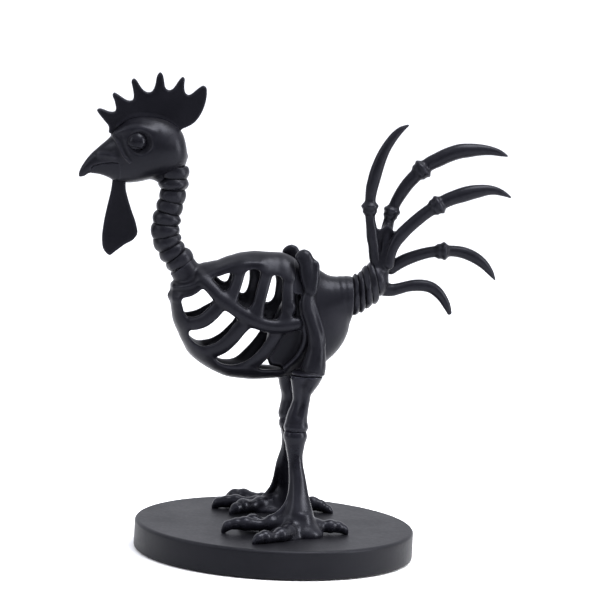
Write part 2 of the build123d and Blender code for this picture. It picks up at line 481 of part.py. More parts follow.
with BuildPart() as pelvis:
    with BuildSketch(Plane.XZ):
        add(pelvis_region.sketch_local)
    extrude(amount=60, both=True)
    add(barrel.part, mode=Mode.INTERSECT)
    # root of the tail, up to the first ring's face
    for origin, direction, r in (((23.0, 0, 156.6), (1, 0, 0.35), 13.2), ((30.0, 0, 160.0), (1, 0, 0.30), 13.2),
                                 (faces[0][0], faces[0][1], faces[0][2])):
        with BuildSketch(Plane(origin=origin, x_dir=(0, 1, 0), z_dir=direction)):
            Circle(r)
    loft()
    with BuildPart(mode=Mode.PRIVATE) as core:
        # closed core between the last ribs, inside the wall
        with BuildSketch(Plane.XZ):
            with BuildLine():
                Polyline(*PELVIS_CORE, close=True)
            make_face()
        extrude(amount=CORE_HALF, both=True)
        add(barrel.part, mode=Mode.INTERSECT)
        add(barrel_wall.part, mode=Mode.SUBTRACT)
    add(core.part)
    add(tail_rod.part, mode=Mode.SUBTRACT)
    for t in thighs:
        add(t, mode=Mode.SUBTRACT)
pelvis.part.label = "pelvis"
export_step(pelvis.part, "parts/pelvis.step")

for i in range(len(faces) - 1):
    (xa, ya, za), da, ra = faces[i]
    (xb, yb, zb), db, rb = faces[i + 1]
    sections = [(faces[i][0], da, ra - TAIL_WAIST),
                (((xa + xb) / 2, 0, (za + zb) / 2), ((da[0] + db[0]) / 2, 0, (da[2] + db[2]) / 2), (ra + rb) / 2 + 0.1),
                (faces[i + 1][0], db, rb - TAIL_WAIST)]
    with BuildPart() as ring:
        for origin, direction, r in sections:
            with BuildSketch(Plane(origin=origin, x_dir=(0, 1, 0), z_dir=direction)):
                Circle(r)
        loft()
        add(tail_rod.part, mode=Mode.SUBTRACT)
    ring.part.label = "tail_ring_" + str(i + 1)
    export_step(ring.part, "parts/tail_ring_" + str(i + 1) + ".step")

# ---------------------------------------------------------------- tail quills and hub
quills = []
for name, (stations, y, knuckles) in QUILLS.items():
    with BuildPart() as quill:
        for (x, z, half), direction in zip(stations, tangents(stations)):
            with BuildSketch(Plane(origin=(x, y, z), x_dir=(0, 1, 0), z_dir=direction)):
                Ellipse(half * 0.86, half)
        loft()
        for i, r in knuckles:
            # a ball on the shaft, its poles along the shaft
            tilt = tangents(stations)[i]
            with Locations((stations[i][0], y, stations[i][1])):
                Sphere(r, rotation=(0, math.degrees(math.atan2(tilt[0], tilt[2])), 0))
    quill.part.label = name
    export_step(quill.part, "parts/" + name + ".step")
    quills.append(quill.part)

with BuildPart() as tail_hub:
    for sections in (HUB_CONE, HUB_STUB):
        for x, z, dx, dz, r in sections:
            with BuildSketch(Plane(origin=(x, 0, z), x_dir=(0, 1, 0), z_dir=(dx, 0, dz))):
                Circle(r)
        loft()
    with BuildSketch(Plane(origin=faces[-1][0], x_dir=(0, 1, 0), z_dir=faces[-1][1])):
        Circle(24)
    extrude(amount=-20, mode=Mode.SUBTRACT)
    add(tail_rod.part, mode=Mode.SUBTRACT)
    for q in quills:
        add(q, mode=Mode.SUBTRACT)
    if len(tail_hub.part.solids()) > 1:
        add(tail_hub.part.solids().sort_by(SortBy.VOLUME)[-1], mode=Mode.INTERSECT)
tail_hub.part.label = "tail_hub"
export_step(tail_hub.part, "parts/tail_hub.step")

# ---------------------------------------------------------------- head
with BuildPart() as comb:
    with BuildSketch(Plane.XZ):
        with BuildLine():
            s = Spline(*COMB_EDGE)
            Polyline(s @ 1, *COMB_ROOT, s @ 0)
        make_face()
    extrude(amount=COMB_T / 2, both=True)
comb.part.label = "comb"
export_step(comb.part, "parts/comb.step")

with BuildPart() as wattle:
    with BuildSketch(Plane.XZ):
        with BuildLine():
            s = Spline(*WATTLE)
            Line(s @ 1, s @ 0)
        make_face()
        with Locations((WATTLE_TENON[0], WATTLE_TENON[1])):
            Rectangle(WATTLE_TENON[2], WATTLE_TENON[3])
    extrude(amount=WATTLE_T / 2, both=True)
wattle.part.label = "wattle"
export_step(wattle.part, "parts/wattle.step")

with BuildPart() as head:
    for x, top, bottom, half in SKULL:
        with BuildSketch(Plane(origin=(x, 0, (top + bottom) / 2), x_dir=(0, 1, 0), z_dir=(1, 0, 0))):
            Ellipse(half, (top - bottom) / 2)
    loft()

for side, sign in (("left", -1), ("right", 1)):
    with BuildPart() as eye:
        with Locations((EYE_X, sign * EYE_Y, EYE_Z)):
            Sphere(EYE_R)
    eye.part.label = side + "_eye"
    export_step(eye.part, "parts/" + side + "_eye.step")

with BuildPart() as skull:
    add(head.part)
    with BuildSketch(Plane.XZ):
        with BuildLine():
            Polyline(*JAW_REGION, close=True)
        make_face()
    extrude(amount=40, both=True, mode=Mode.SUBTRACT)
    with Locations((EYE_X, -EYE_Y, EYE_Z), (EYE_X, EYE_Y, EYE_Z)):
        Sphere(EYE_R + FIT, mode=Mode.SUBTRACT)
    with Locations((SOCKET_X, -SOCKET_Y, SOCKET_Z), (SOCKET_X, SOCKET_Y, SOCKET_Z)):
        Sphere(SOCKET_R, mode=Mode.SUBTRACT)
    add(comb.part, mode=Mode.SUBTRACT)
    add(neck_rod.part, mode=Mode.SUBTRACT)
skull.part.label = "skull"
export_step(skull.part, "parts/skull.step")

with BuildPart() as lower_jaw:
    with BuildSketch(Plane.XZ) as jaw_outline:
        with BuildLine():
            Polyline(*JAW_REGION, close=True)
        make_face()
        offset(amount=-0.1)
    extrude(amount=40, both=True)
    add(head.part, mode=Mode.INTERSECT)
    add(wattle.part, mode=Mode.SUBTRACT)
lower_jaw.part.label = "lower_jaw"
export_step(lower_jaw.part, "parts/lower_jaw.step")

# ---------------------------------------------------------------- neck rings
def ring_sections(path, radii, i):
    """Two end planes half way to the neighbours and the middle plane of ring i on a path."""
    (xa, za), (xb, zb), (xc, zc) = path[i], path[i + 1], path[i + 2]
    ends = []
    for (x1, z1), (x2, z2) in (((xa, za), (xb, zb)), ((xb, zb), (xc, zc))):
        length = math.hypot(x2 - x1, z2 - z1)
        ends.append((((x1 + x2) / 2, 0, (z1 + z2) / 2), ((x2 - x1) / length, 0, (z2 - z1) / length)))
    length = math.hypot(xc - xa, zc - za)
    middle = ((xb, 0, zb), ((xc - xa) / length, 0, (zc - za) / length))
    r = radii[i]
    before = radii[max(i - 1, 0)]
    after = radii[min(i + 1, len(radii) - 1)]
    return [ends[0] + (min(r, before) - RING_WAIST,), middle + (r,), ends[1] + (min(r, after) - RING_WAIST,)]


ring_path = [NECK_TOP] + [(x, z) for x, z, r in NECK] + [NECK_END]
neck_radii = [r for x, z, r in NECK]
for i in range(len(NECK)):
    with BuildPart() as ring:
        for origin, direction, r in ring_sections(ring_path, neck_radii, i):
            with BuildSketch(Plane(origin=origin, x_dir=(0, 1, 0), z_dir=direction)):
                Circle(r)
        loft()
        add(neck_rod.part, mode=Mode.SUBTRACT)
        if i < 2:
            add(skull.part, mode=Mode.SUBTRACT)
        if i == len(NECK) - 1:
            add(neck_collar.part, mode=Mode.SUBTRACT)
        if len(ring.part.solids()) > 1:
            add(ring.part.solids().sort_by(SortBy.VOLUME)[-1], mode=Mode.INTERSECT)
    ring.part.label = "neck_ring_" + str(i + 1)
    export_step(ring.part, "parts/neck_ring_" + str(i + 1) + ".step")
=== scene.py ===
import bmesh
import bpy
import math
import numpy as np
import openvdb as vdb
from mathutils import Matrix


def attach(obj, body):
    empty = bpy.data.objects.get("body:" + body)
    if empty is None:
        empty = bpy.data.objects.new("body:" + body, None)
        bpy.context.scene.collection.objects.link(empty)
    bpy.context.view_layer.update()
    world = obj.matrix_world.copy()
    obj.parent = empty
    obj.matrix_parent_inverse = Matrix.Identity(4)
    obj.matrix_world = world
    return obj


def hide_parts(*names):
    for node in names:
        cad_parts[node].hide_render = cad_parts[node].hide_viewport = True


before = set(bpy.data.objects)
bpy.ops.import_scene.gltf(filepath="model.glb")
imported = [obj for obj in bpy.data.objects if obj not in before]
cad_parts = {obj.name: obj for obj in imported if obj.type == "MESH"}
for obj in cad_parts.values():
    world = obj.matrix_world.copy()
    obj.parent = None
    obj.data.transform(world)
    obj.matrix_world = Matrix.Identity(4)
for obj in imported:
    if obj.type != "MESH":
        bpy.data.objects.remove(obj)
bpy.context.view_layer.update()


scene = bpy.context.scene
F32 = np.float32

# Skeleton rooster ornament. All shape numbers are millimetres in the model's frame:
# -X beak, +X tail, -Y the bird's left side, +Z up, 0 at the felt underside.


# ------------------------------------------------------------------ curves
def curve(points, per=8):
    """Smooth curve through points (any number of columns), as dense rows."""
    p = np.asarray(points, float)
    if len(p) < 3:
        t = np.linspace(0, 1, per + 1)[:, None]
        return p[0] + (p[-1] - p[0]) * t
    chord = np.linalg.norm(np.diff(p[:, :-1] if p.shape[1] > 3 else p, axis=0), axis=1)
    s = np.r_[0, np.cumsum(np.maximum(chord, 1e-6))]
    m = np.zeros_like(p)
    slope = np.diff(p, axis=0) / np.diff(s)[:, None]
    m[1:-1] = ((s[2:] - s[1:-1])[:, None] * slope[:-1] + (s[1:-1] - s[:-2])[:, None] * slope[1:]) / (s[2:] - s[:-2])[:, None]
    m[0], m[-1] = slope[0] * 1.5 - m[1] * 0.5, slope[-1] * 1.5 - m[-2] * 0.5
    out = []
    for i in range(len(p) - 1):
        t = np.linspace(0, 1, per, endpoint=False)[:, None]
        w = s[i + 1] - s[i]
        out.append((2 * t**3 - 3 * t**2 + 1) * p[i] + (t**3 - 2 * t**2 + t) * w * m[i]
                   + (-2 * t**3 + 3 * t**2) * p[i + 1] + (t**3 - t**2) * w * m[i + 1])
    out.append(p[-1:])
    return np.vstack(out)


def monotone(xs, ys):
    """Shape-keeping interpolation of ys over xs."""
    xs, ys = np.asarray(xs, float), np.asarray(ys, float)
    h, dlt = np.diff(xs), np.diff(ys) / np.diff(xs)
    m = np.zeros_like(ys)
    for i in range(1, len(xs) - 1):
        if dlt[i - 1] * dlt[i] > 0:
            w1, w2 = 2 * h[i] + h[i - 1], h[i] + 2 * h[i - 1]
            m[i] = (w1 + w2) / (w1 / dlt[i - 1] + w2 / dlt[i])
    m[0], m[-1] = dlt[0], dlt[-1]

    def f(x):
        x = np.clip(x, xs[0], xs[-1])
        i = np.clip(np.searchsorted(xs, x) - 1, 0, len(xs) - 2)
        w = xs[i + 1] - xs[i]
        t = (x - xs[i]) / w
        return ((2 * t**3 - 3 * t**2 + 1) * ys[i] + (t**3 - 2 * t**2 + t) * w * m[i]
                + (-2 * t**3 + 3 * t**2) * ys[i + 1] + (t**3 - t**2) * w * m[i + 1])
    return f


# ------------------------------------------------------------------ distance fields
def smin(a, b, k):
    if k <= 0:
        return np.minimum(a, b)
    h = np.maximum(k - np.abs(a - b), 0) / k
    return np.minimum(a, b) - h * h * (k * 0.25)


def smax(a, b, k):
    return -smin(-a, -b, k)


class Field:
    def __init__(self, lo, hi, h, far=25.0):
        self.h = float(h)
        self.lo = np.array(lo, float)
        self.n = np.ceil((np.array(hi, float) - self.lo) / h).astype(int) + 1
        self.ax = [(self.lo[i] + h * np.arange(self.n[i])).astype(F32) for i in range(3)]
        self.d = np.full(tuple(self.n), far, F32)

    def window(self, lo, hi):
        a = np.clip(np.floor((np.array(lo) - self.lo) / self.h).astype(int), 0, self.n)
        b = np.clip(np.ceil((np.array(hi) - self.lo) / self.h).astype(int) + 1, 0, self.n)
        sl = tuple(slice(a[i], b[i]) for i in range(3))
        return sl, self.ax[0][sl[0]][:, None, None], self.ax[1][sl[1]][None, :, None], self.ax[2][sl[2]][None, None, :]

    def all(self):
        return self.ax[0][:, None, None], self.ax[1][None, :, None], self.ax[2][None, None, :]

    def blend(self, sl, v, k, cut):
        self.d[sl] = smax(self.d[sl], -v, k) if cut else smin(self.d[sl], v, k)

    def ball(self, c, r, k=0.0, cut=False, turn=None):
        """Ellipsoid; turn is a 3x3 matrix whose rows are its axes."""
        r = np.broadcast_to(np.array(r, float), (3,))
        pad = r.max() + k + 2.5
        sl, x, y, z = self.window(np.array(c) - pad, np.array(c) + pad)
        x, y, z = x - F32(c[0]), y - F32(c[1]), z - F32(c[2])
        if turn is not None:
            t = np.array(turn, F32)
            x, y, z = (t[i, 0] * x + t[i, 1] * y + t[i, 2] * z for i in range(3))
        k0 = np.sqrt((x / r[0])**2 + (y / r[1])**2 + (z / r[2])**2) + 1e-6
        k1 = np.sqrt((x / r[0]**2)**2 + (y / r[1]**2)**2 + (z / r[2]**2)**2) + 1e-6
        self.blend(sl, (k0 * (k0 - 1) / k1).astype(F32), k, cut)

    def tube(self, points, k=0.0, cut=False, per=6, flat=(1, 1, 1)):
        """Round bar along points (x, y, z, r); flat scales the section along the axes."""
        p = curve(points, per)
        f = np.array(flat, F32)
        rmax = p[:, 3].max() * max(flat) + k + 2.5
        lo, hi = p[:, :3].min(0) - rmax, p[:, :3].max(0) + rmax
        sl, x, y, z = self.window(lo, hi)
        shape = (x.shape[0], y.shape[1], z.shape[2])
        if min(shape) == 0:
            return
        temp = np.full(shape, 25.0, F32)
        base = [s.start for s in sl]
        for a, b in zip(p[:-1], p[1:]):
            pad = max(a[3], b[3]) * max(flat) + k + 2.0
            s2, x2, y2, z2 = self.window(np.minimum(a[:3], b[:3]) - pad, np.maximum(a[:3], b[:3]) + pad)
            s3 = tuple(slice(s2[i].start - base[i], s2[i].stop - base[i]) for i in range(3))
            ba = ((b - a)[:3] / f).astype(F32)
            px, py, pz = (x2 - F32(a[0])) / f[0], (y2 - F32(a[1])) / f[1], (z2 - F32(a[2])) / f[2]
            t = np.clip((px * ba[0] + py * ba[1] + pz * ba[2]) / max(float(ba @ ba), 1e-9), 0, 1)
            v = np.sqrt((px - ba[0] * t)**2 + (py - ba[1] * t)**2 + (pz - ba[2] * t)**2) - (a[3] + (b[3] - a[3]) * t)
            temp[s3] = np.minimum(temp[s3], v.astype(F32))
        self.blend(sl, temp, k, cut)

    def plane(self, point, normal, k=0.0):
        """Keeps what lies behind the plane."""
        n = np.array(normal, float)
        n /= np.linalg.norm(n)
        x, y, z = self.all()
        v = (x - point[0]) * n[0] + (y - point[1]) * n[1] + (z - point[2]) * n[2]
        self.d = smax(self.d, v.astype(F32), k)

    def even(self):
        """Rescales the field to true distance near its surface."""
        g = np.gradient(self.d, self.h)
        self.d = (self.d / np.clip(np.sqrt(g[0]**2 + g[1]**2 + g[2]**2), 0.35, 6.0)).astype(F32)

    def sample(self, p):
        q = (p - self.lo) / self.h
        i = np.clip(np.floor(q).astype(int), 0, self.n - 2)
        t = (q - i).astype(F32)
        d = self.d
        out = 0
        for a in (0, 1):
            for b in (0, 1):
                for c in (0, 1):
                    w = ((t[:, 0] if a else 1 - t[:, 0]) * (t[:, 1] if b else 1 - t[:, 1]) * (t[:, 2] if c else 1 - t[:, 2]))
                    out = out + w * d[i[:, 0] + a, i[:, 1] + b, i[:, 2] + c]
        return out

    def slope(self, p):
        e = self.h * 0.75
        g = np.stack([self.sample(p + np.eye(3)[i] * e) - self.sample(p - np.eye(3)[i] * e) for i in range(3)], 1)
        return g / np.maximum(np.linalg.norm(g, axis=1, keepdims=True), 1e-6)


def outline_distance(poly, x, z, closed=True):
    """Distance from side-view points to a line; signed, negative inside, when closed."""
    poly = np.asarray(poly, float)
    best = np.full(np.broadcast(x, z).shape, 1e9)
    inside = np.zeros(best.shape, bool)
    n = len(poly)
    for i in range(n if closed else n - 1):
        (ax, az), (bx, bz) = poly[i], poly[(i + 1) % n]
        ex, ez = bx - ax, bz - az
        t = np.clip(((x - ax) * ex + (z - az) * ez) / max(ex * ex + ez * ez, 1e-12), 0, 1)
        best = np.minimum(best, (x - ax - ex * t)**2 + (z - az - ez * t)**2)
        if closed:
            cross = ((az > z) != (bz > z)) & (x < ex * (z - az) / (ez if abs(ez) > 1e-12 else 1e-12) + ax)
            inside ^= cross
    best = np.sqrt(best)
    return np.where(inside, -best, best).astype(F32) if closed else best.astype(F32)


# ------------------------------------------------------------------ meshes
def neighbour_mean(values, quads, count):
    out = np.zeros((count,) + values.shape[1:])
    deg = np.zeros(count)
    for a, b in ((0, 1), (1, 2), (2, 3), (3, 0)):
        for s, e in ((quads[:, a], quads[:, b]), (quads[:, b], quads[:, a])):
            deg += np.bincount(s, minlength=count)
            if values.ndim == 1:
                out += np.bincount(s, weights=values[e], minlength=count)
            else:
                for c in range(values.shape[1]):
                    out[:, c] += np.bincount(s, weights=values[e, c], minlength=count)
    deg = np.maximum(deg, 1)
    return out / (deg if values.ndim == 1 else deg[:, None])


def make_object(name, verts, quads, relief=None):
    me = bpy.data.meshes.new(name)
    me.vertices.add(len(verts))
    me.vertices.foreach_set("co", (np.asarray(verts, float) * 0.001).astype(F32).ravel())
    quads = np.asarray(quads, np.int32)
    me.loops.add(quads.size)
    me.loops.foreach_set("vertex_index", quads.ravel())
    me.polygons.add(len(quads))
    me.polygons.foreach_set("loop_start", np.arange(0, quads.size, quads.shape[1], dtype=np.int32))
    me.polygons.foreach_set("use_smooth", np.ones(len(quads), bool))
    me.update(calc_edges=True)
    me.validate()
    at = me.attributes.new("relief", "FLOAT", "POINT")
    at.data.foreach_set("value", (np.zeros(len(verts)) if relief is None else relief).astype(F32))
    ob = bpy.data.objects.new(name, me)
    scene.collection.objects.link(ob)
    return ob


def largest(verts, quads):
    """Drops loose crumbs: keeps the part of the mesh with the most vertices."""
    label = np.arange(len(verts))
    while True:
        low = label[quads].min(1)
        new = label.copy()
        for c in range(4):
            np.minimum.at(new, quads[:, c], low)
        new = new[new]
        if (new == label).all():
            break
        label = new
    ids, counts = np.unique(label, return_counts=True)
    if len(ids) == 1:
        return verts, quads
    keep = label == ids[counts.argmax()]
    index = np.cumsum(keep) - 1
    return verts[keep], index[quads[keep[quads[:, 0]]]]


def skin(field, name, rounds=2, islands=False):
    grid = vdb.FloatGrid()
    grid.copyFromArray(np.ascontiguousarray(field.d))
    pts, quads = grid.convertToQuads(isovalue=0.0)
    p = field.lo + np.asarray(pts, float) * field.h
    q = np.asarray(quads, np.int64)
    if not islands:
        p, q = largest(p, q)
    for _ in range(rounds):
        p = p * 0.5 + neighbour_mean(p, q, len(p)) * 0.5
        for _ in range(2):
            p = p - field.slope(p) * np.clip(field.sample(p), -field.h, field.h)[:, None]
    n = field.slope(p)
    e1, e2 = p[q[:, 2]] - p[q[:, 0]], p[q[:, 3]] - p[q[:, 1]]
    if (np.cross(e1, e2) * n[q[:, 0]]).sum() < 0:
        q = q[:, ::-1]
    # curvature, kept as the relief attribute: the paint lightens convex parts with wear and a painted highlight, and
    # darkens hollows with painted shade
    bend = ((neighbour_mean(p, q, len(p)) - p) * n).sum(1) / field.h**2
    for _ in range(4):
        bend = bend * 0.4 + neighbour_mean(bend, q, len(p)) * 0.6
    return make_object(name, p, q, np.clip(bend * 4.0, -1, 1))


def weld(ob):
    """Joins the points that meet in one place, such as at a pole."""
    bm = bmesh.new()
    bm.from_mesh(ob.data)
    bmesh.ops.remove_doubles(bm, verts=bm.verts, dist=1e-7)
    bm.to_mesh(ob.data)
    bm.free()


def rings_mesh(name, loops, bored=False, relief=None):
    """Skin over a stack of equal loops of points; a bored one closes through its hole."""
    loops = np.asarray(loops, float)
    m, n = loops.shape[:2]
    verts = loops.reshape(-1, 3)
    quads = []
    for i in range(m - 1):
        a = i * n + np.arange(n)
        b = i * n + (np.arange(n) + 1) % n
        quads.append(np.stack([a, b, b + n, a + n], 1))
    if bored:
        a, b = (m - 1) * n + np.arange(n), (m - 1) * n + (np.arange(n) + 1) % n
        quads.append(np.stack([a, b, b - (m - 1) * n, a - (m - 1) * n], 1))
    quads = np.vstack(quads)
    mid = loops.mean((0, 1))
    a, b, c, d = (verts[quads[:, i]] - mid for i in range(4))
    if (np.cross(b, c) * a).sum() + (np.cross(c, d) * a).sum() < 0:
        quads = quads[:, ::-1]
    ob = make_object(name, verts, quads, relief)
    return ob


# ------------------------------------------------------------------ materials
def nodes_of(mat):
    mat.use_nodes = True
    nt = mat.node_tree
    return nt, nt.nodes["Principled BSDF"]


def noise(nt, vec, scale, detail, rough=0.55):
    n = nt.nodes.new("ShaderNodeTexNoise")
    n.inputs["Scale"].default_value = scale
    n.inputs["Detail"].default_value = detail
    n.inputs["Roughness"].default_value = rough
    nt.links.new(vec, n.inputs["Vector"])
    return n.outputs["Fac"]


def remap(nt, value, a, b, c, d):
    n = nt.nodes.new("ShaderNodeMapRange")
    n.clamp = True
    for name, v in (("From Min", a), ("From Max", b), ("To Min", c), ("To Max", d)):
        n.inputs[name].default_value = v
    nt.links.new(value, n.inputs["Value"])
    return n.outputs["Result"]


def calc(nt, op, a, b):
    n = nt.nodes.new("ShaderNodeMath")
    n.operation = op
    for i, v in enumerate((a, b)):
        if isinstance(v, (int, float)):
            n.inputs[i].default_value = v
        else:
            nt.links.new(v, n.inputs[i])
    return n.outputs[0]


def mix(nt, fac, a, b):
    n = nt.nodes.new("ShaderNodeMix")
    n.data_type = "RGBA"
    nt.links.new(fac, n.inputs[0])
    for i, v in ((6, a), (7, b)):
        if isinstance(v, tuple):
            n.inputs[i].default_value = v + (1,)
        else:
            nt.links.new(v, n.inputs[i])
    return n.outputs[2]


def object_coord(nt):
    return nt.nodes.new("ShaderNodeTexCoord").outputs["Object"]


def satin_black(name, dark, light, edge, r0, r1, grain=1.0, specular=0.13):
    """Satin black paint over a casting: cloudy tone, edges lightened as rubbed wear with a painted highlight, hollows
    darkened with painted shade, fine grain.
    """
    mat = bpy.data.materials.new(name)
    nt, bsdf = nodes_of(mat)
    vec = object_coord(nt)
    cloud = noise(nt, vec, 38.0, 4.0)
    fine = noise(nt, vec, 420.0, 5.0, 0.6)
    grit = noise(nt, vec, 1500.0, 2.0, 0.5)
    at = nt.nodes.new("ShaderNodeAttribute")
    at.attribute_name = "relief"
    convex = remap(nt, at.outputs["Fac"], -0.06, -0.75, 0.0, 1.0)
    painted_shade_hollows = remap(nt, at.outputs["Fac"], 0.05, 0.7, 0.0, 1.0)
    tone = mix(nt, remap(nt, cloud, 0.35, 0.68, 0.0, 1.0), dark, light)
    # lighter edges: rubbed wear of the paint, and also a painted highlight on convex edges
    rub_wear_and_highlight = calc(nt, "MULTIPLY", convex, remap(nt, fine, 0.38, 0.62, 0.25, 1.0))
    tone = mix(nt, rub_wear_and_highlight, tone, edge)
    # hollows and creases darkened toward a darker black: painted shade
    tone = mix(nt, calc(nt, "MULTIPLY", painted_shade_hollows, 0.7), tone, tuple(v * 0.45 for v in dark))
    nt.links.new(tone, bsdf.inputs["Base Color"])
    rough = remap(nt, calc(nt, "ADD", calc(nt, "MULTIPLY", cloud, 0.6), calc(nt, "MULTIPLY", fine, 0.4)), 0.38, 0.62, r0, r1)
    rough = calc(nt, "ADD", rough, calc(nt, "MULTIPLY", painted_shade_hollows, 0.10))
    rough = calc(nt, "SUBTRACT", rough, calc(nt, "MULTIPLY", rub_wear_and_highlight, 0.05))
    nt.links.new(rough, bsdf.inputs["Roughness"])
    bsdf.inputs["Specular IOR Level"].default_value = specular
    bsdf.inputs["Specular Tint"].default_value = (0.84, 0.86, 1.0, 1)
    bump = nt.nodes.new("ShaderNodeBump")
    bump.inputs["Strength"].default_value = 0.22 * grain
    bump.inputs["Distance"].default_value = 0.0006
    nt.links.new(noise(nt, vec, 165.0, 4.0, 0.5), bump.inputs["Height"])
    bump2 = nt.nodes.new("ShaderNodeBump")
    bump2.inputs["Strength"].default_value = 0.10 * grain
    bump2.inputs["Distance"].default_value = 0.0002
    nt.links.new(calc(nt, "ADD", fine, calc(nt, "MULTIPLY", grit, 0.6)), bump2.inputs["Height"])
    nt.links.new(bump.outputs["Normal"], bump2.inputs["Normal"])
    nt.links.new(bump2.outputs["Normal"], bsdf.inputs["Normal"])
    return mat


def felt_material():
    mat = bpy.data.materials.new("black_felt")
    nt, bsdf = nodes_of(mat)
    vec = object_coord(nt)
    fibre = noise(nt, vec, 900.0, 6.0, 0.7)
    cloud = noise(nt, vec, 60.0, 3.0)
    tone = mix(nt, remap(nt, fibre, 0.35, 0.65, 0, 1), (0.008, 0.008, 0.009), (0.030, 0.030, 0.033))
    tone = mix(nt, remap(nt, cloud, 0.4, 0.7, 0, 0.5), tone, (0.014, 0.014, 0.016))
    nt.links.new(tone, bsdf.inputs["Base Color"])
    bsdf.inputs["Roughness"].default_value = 0.95
    bump = nt.nodes.new("ShaderNodeBump")
    bump.inputs["Strength"].default_value = 0.6
    bump.inputs["Distance"].default_value = 0.0005
    nt.links.new(fibre, bump.inputs["Height"])
    nt.links.new(bump.outputs["Normal"], bsdf.inputs["Normal"])
    return mat


def steel_material():
    mat = bpy.data.materials.new("zinc_steel")
    nt, bsdf = nodes_of(mat)
    vec = object_coord(nt)
    streak = noise(nt, vec, 700.0, 4.0)
    tone = mix(nt, remap(nt, streak, 0.35, 0.65, 0, 1), (0.42, 0.43, 0.45), (0.60, 0.61, 0.63))
    nt.links.new(tone, bsdf.inputs["Base Color"])
    bsdf.inputs["Metallic"].default_value = 1.0
    nt.links.new(remap(nt, streak, 0.35, 0.65, 0.28, 0.42), bsdf.inputs["Roughness"])
    return mat


PAINT = satin_black("satin_black_casting", (0.0026, 0.0026, 0.0038), (0.0048, 0.0047, 0.0066), (0.012, 0.012, 0.016), 0.29, 0.40)
PLINTH_PAINT = satin_black("satin_black_plinth", (0.0034, 0.0034, 0.0044), (0.0052, 0.0052, 0.0064), (0.010, 0.010, 0.012),
                           0.43, 0.51, grain=0.35, specular=0.12)
# darker copy of the casting paint for comb and wattle: painted shade for flat plates facing the dim front of the room;
# lower sheen as well
PLATE_PAINT_SHADED = satin_black("satin_black_plates_painted_shade", (0.0018, 0.0018, 0.0028), (0.0034, 0.0033, 0.0048), (0.010, 0.010, 0.014), 0.33, 0.45, specular=0.085)
LEG_PAINT = satin_black("satin_black_legs", (0.0026, 0.0026, 0.0040), (0.0046, 0.0045, 0.0066), (0.012, 0.012, 0.017), 0.25, 0.34, grain=0.2, specular=0.16)
# darker copy of the casting paint for the eyes: painted shade of the recessed sockets; glossier as well
EYE_PAINT_SHADED = satin_black("satin_black_eyes_painted_shade", (0.0020, 0.0020, 0.0030), (0.0034, 0.0034, 0.0048), (0.008, 0.008, 0.011), 0.20, 0.28, grain=0.5, specular=0.10)
FELT = felt_material()
STEEL = steel_material()


def done(ob, material, slot, *nodes):
    ob.data.materials.append(material)
    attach(ob, "root")
    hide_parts(*nodes)
    return ob


def keep_node(name, material):
    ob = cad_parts[name]
    if not ob.material_slots:
        ob.data.materials.append(material)
    for s in ob.material_slots:
        s.material = material


# ------------------------------------------------------------------ camera and light
EYE = np.array([-358.553, -2920.183, 604.490])
HEADING, PITCH, ROLL = math.radians(7.1684), math.radians(8.6044), math.radians(3.053)
fwd = np.array([math.sin(HEADING) * math.cos(PITCH), math.cos(HEADING) * math.cos(PITCH), -math.sin(PITCH)])
right = np.array([math.cos(HEADING), -math.sin(HEADING), 0.0])
up = np.cross(right, fwd)
right, up = right * math.cos(ROLL) + up * math.sin(ROLL), up * math.cos(ROLL) - right * math.sin(ROLL)
cam_data = bpy.data.cameras.new("camera")
cam_data.sensor_width = 36.0
cam_data.lens = 289.216
cam_data.clip_start = 0.1
cam_data.clip_end = 60.0
cam = bpy.data.objects.new("camera", cam_data)
scene.collection.objects.link(cam)
cam.matrix_world = Matrix([[right[i], up[i], -fwd[i], EYE[i] * 0.001] for i in range(3)] + [[0, 0, 0, 1]])
scene.camera = cam
scene.view_settings.view_transform = "Standard"
scene.view_settings.look = "None"

world = bpy.data.worlds.new("studio")
scene.world = world
world.use_nodes = True
# studio: bright ceiling, pale sweep behind the object, darker room in front of it
nt = world.node_tree
axes = nt.nodes.new("ShaderNodeSeparateXYZ")
nt.links.new(nt.nodes.new("ShaderNodeTexCoord").outputs["Generated"], axes.inputs[0])
low = remap(nt, axes.outputs["Y"], -0.30, 0.9, 0.10, 1.20)
height = remap(nt, axes.outputs["Z"], 0.12, 0.55, 0.0, 1.0)
sky = calc(nt, "ADD", low, calc(nt, "MULTIPLY", height, calc(nt, "SUBTRACT", 1.42, low)))
nt.links.new(sky, nt.nodes["Background"].inputs["Strength"])
nt.nodes["Background"].inputs["Color"].default_value = (0.97, 0.98, 1.06, 1)


def area(name, place, target, size, power):
    d = bpy.data.lights.new(name, "AREA")
    d.shape = "RECTANGLE"
    d.size, d.size_y = size
    d.energy = power
    o = bpy.data.objects.new(name, d)
    scene.collection.objects.link(o)
    p, t = np.array(place, float), np.array(target, float)
    z = (p - t) / np.linalg.norm(p - t)
    x = np.cross([0, 0, 1.0], z)
    x /= np.linalg.norm(x)
    y = np.cross(z, x)
    o.matrix_world = Matrix([[x[i], y[i], z[i], p[i]] for i in range(3)] + [[0, 0, 0, 1]])


area("softbox_top", (0.35, -0.20, 1.35), (0, 0, 0.15), (0.7, 0.7), 24.0)
area("strip_right", (1.30, -0.52, 0.58), (0, 0, 0.18), (0.26, 1.0), 19.0)
area("strip_left", (-1.40, -0.42, 0.75), (0, 0, 0.18), (0.30, 0.9), 6.0)

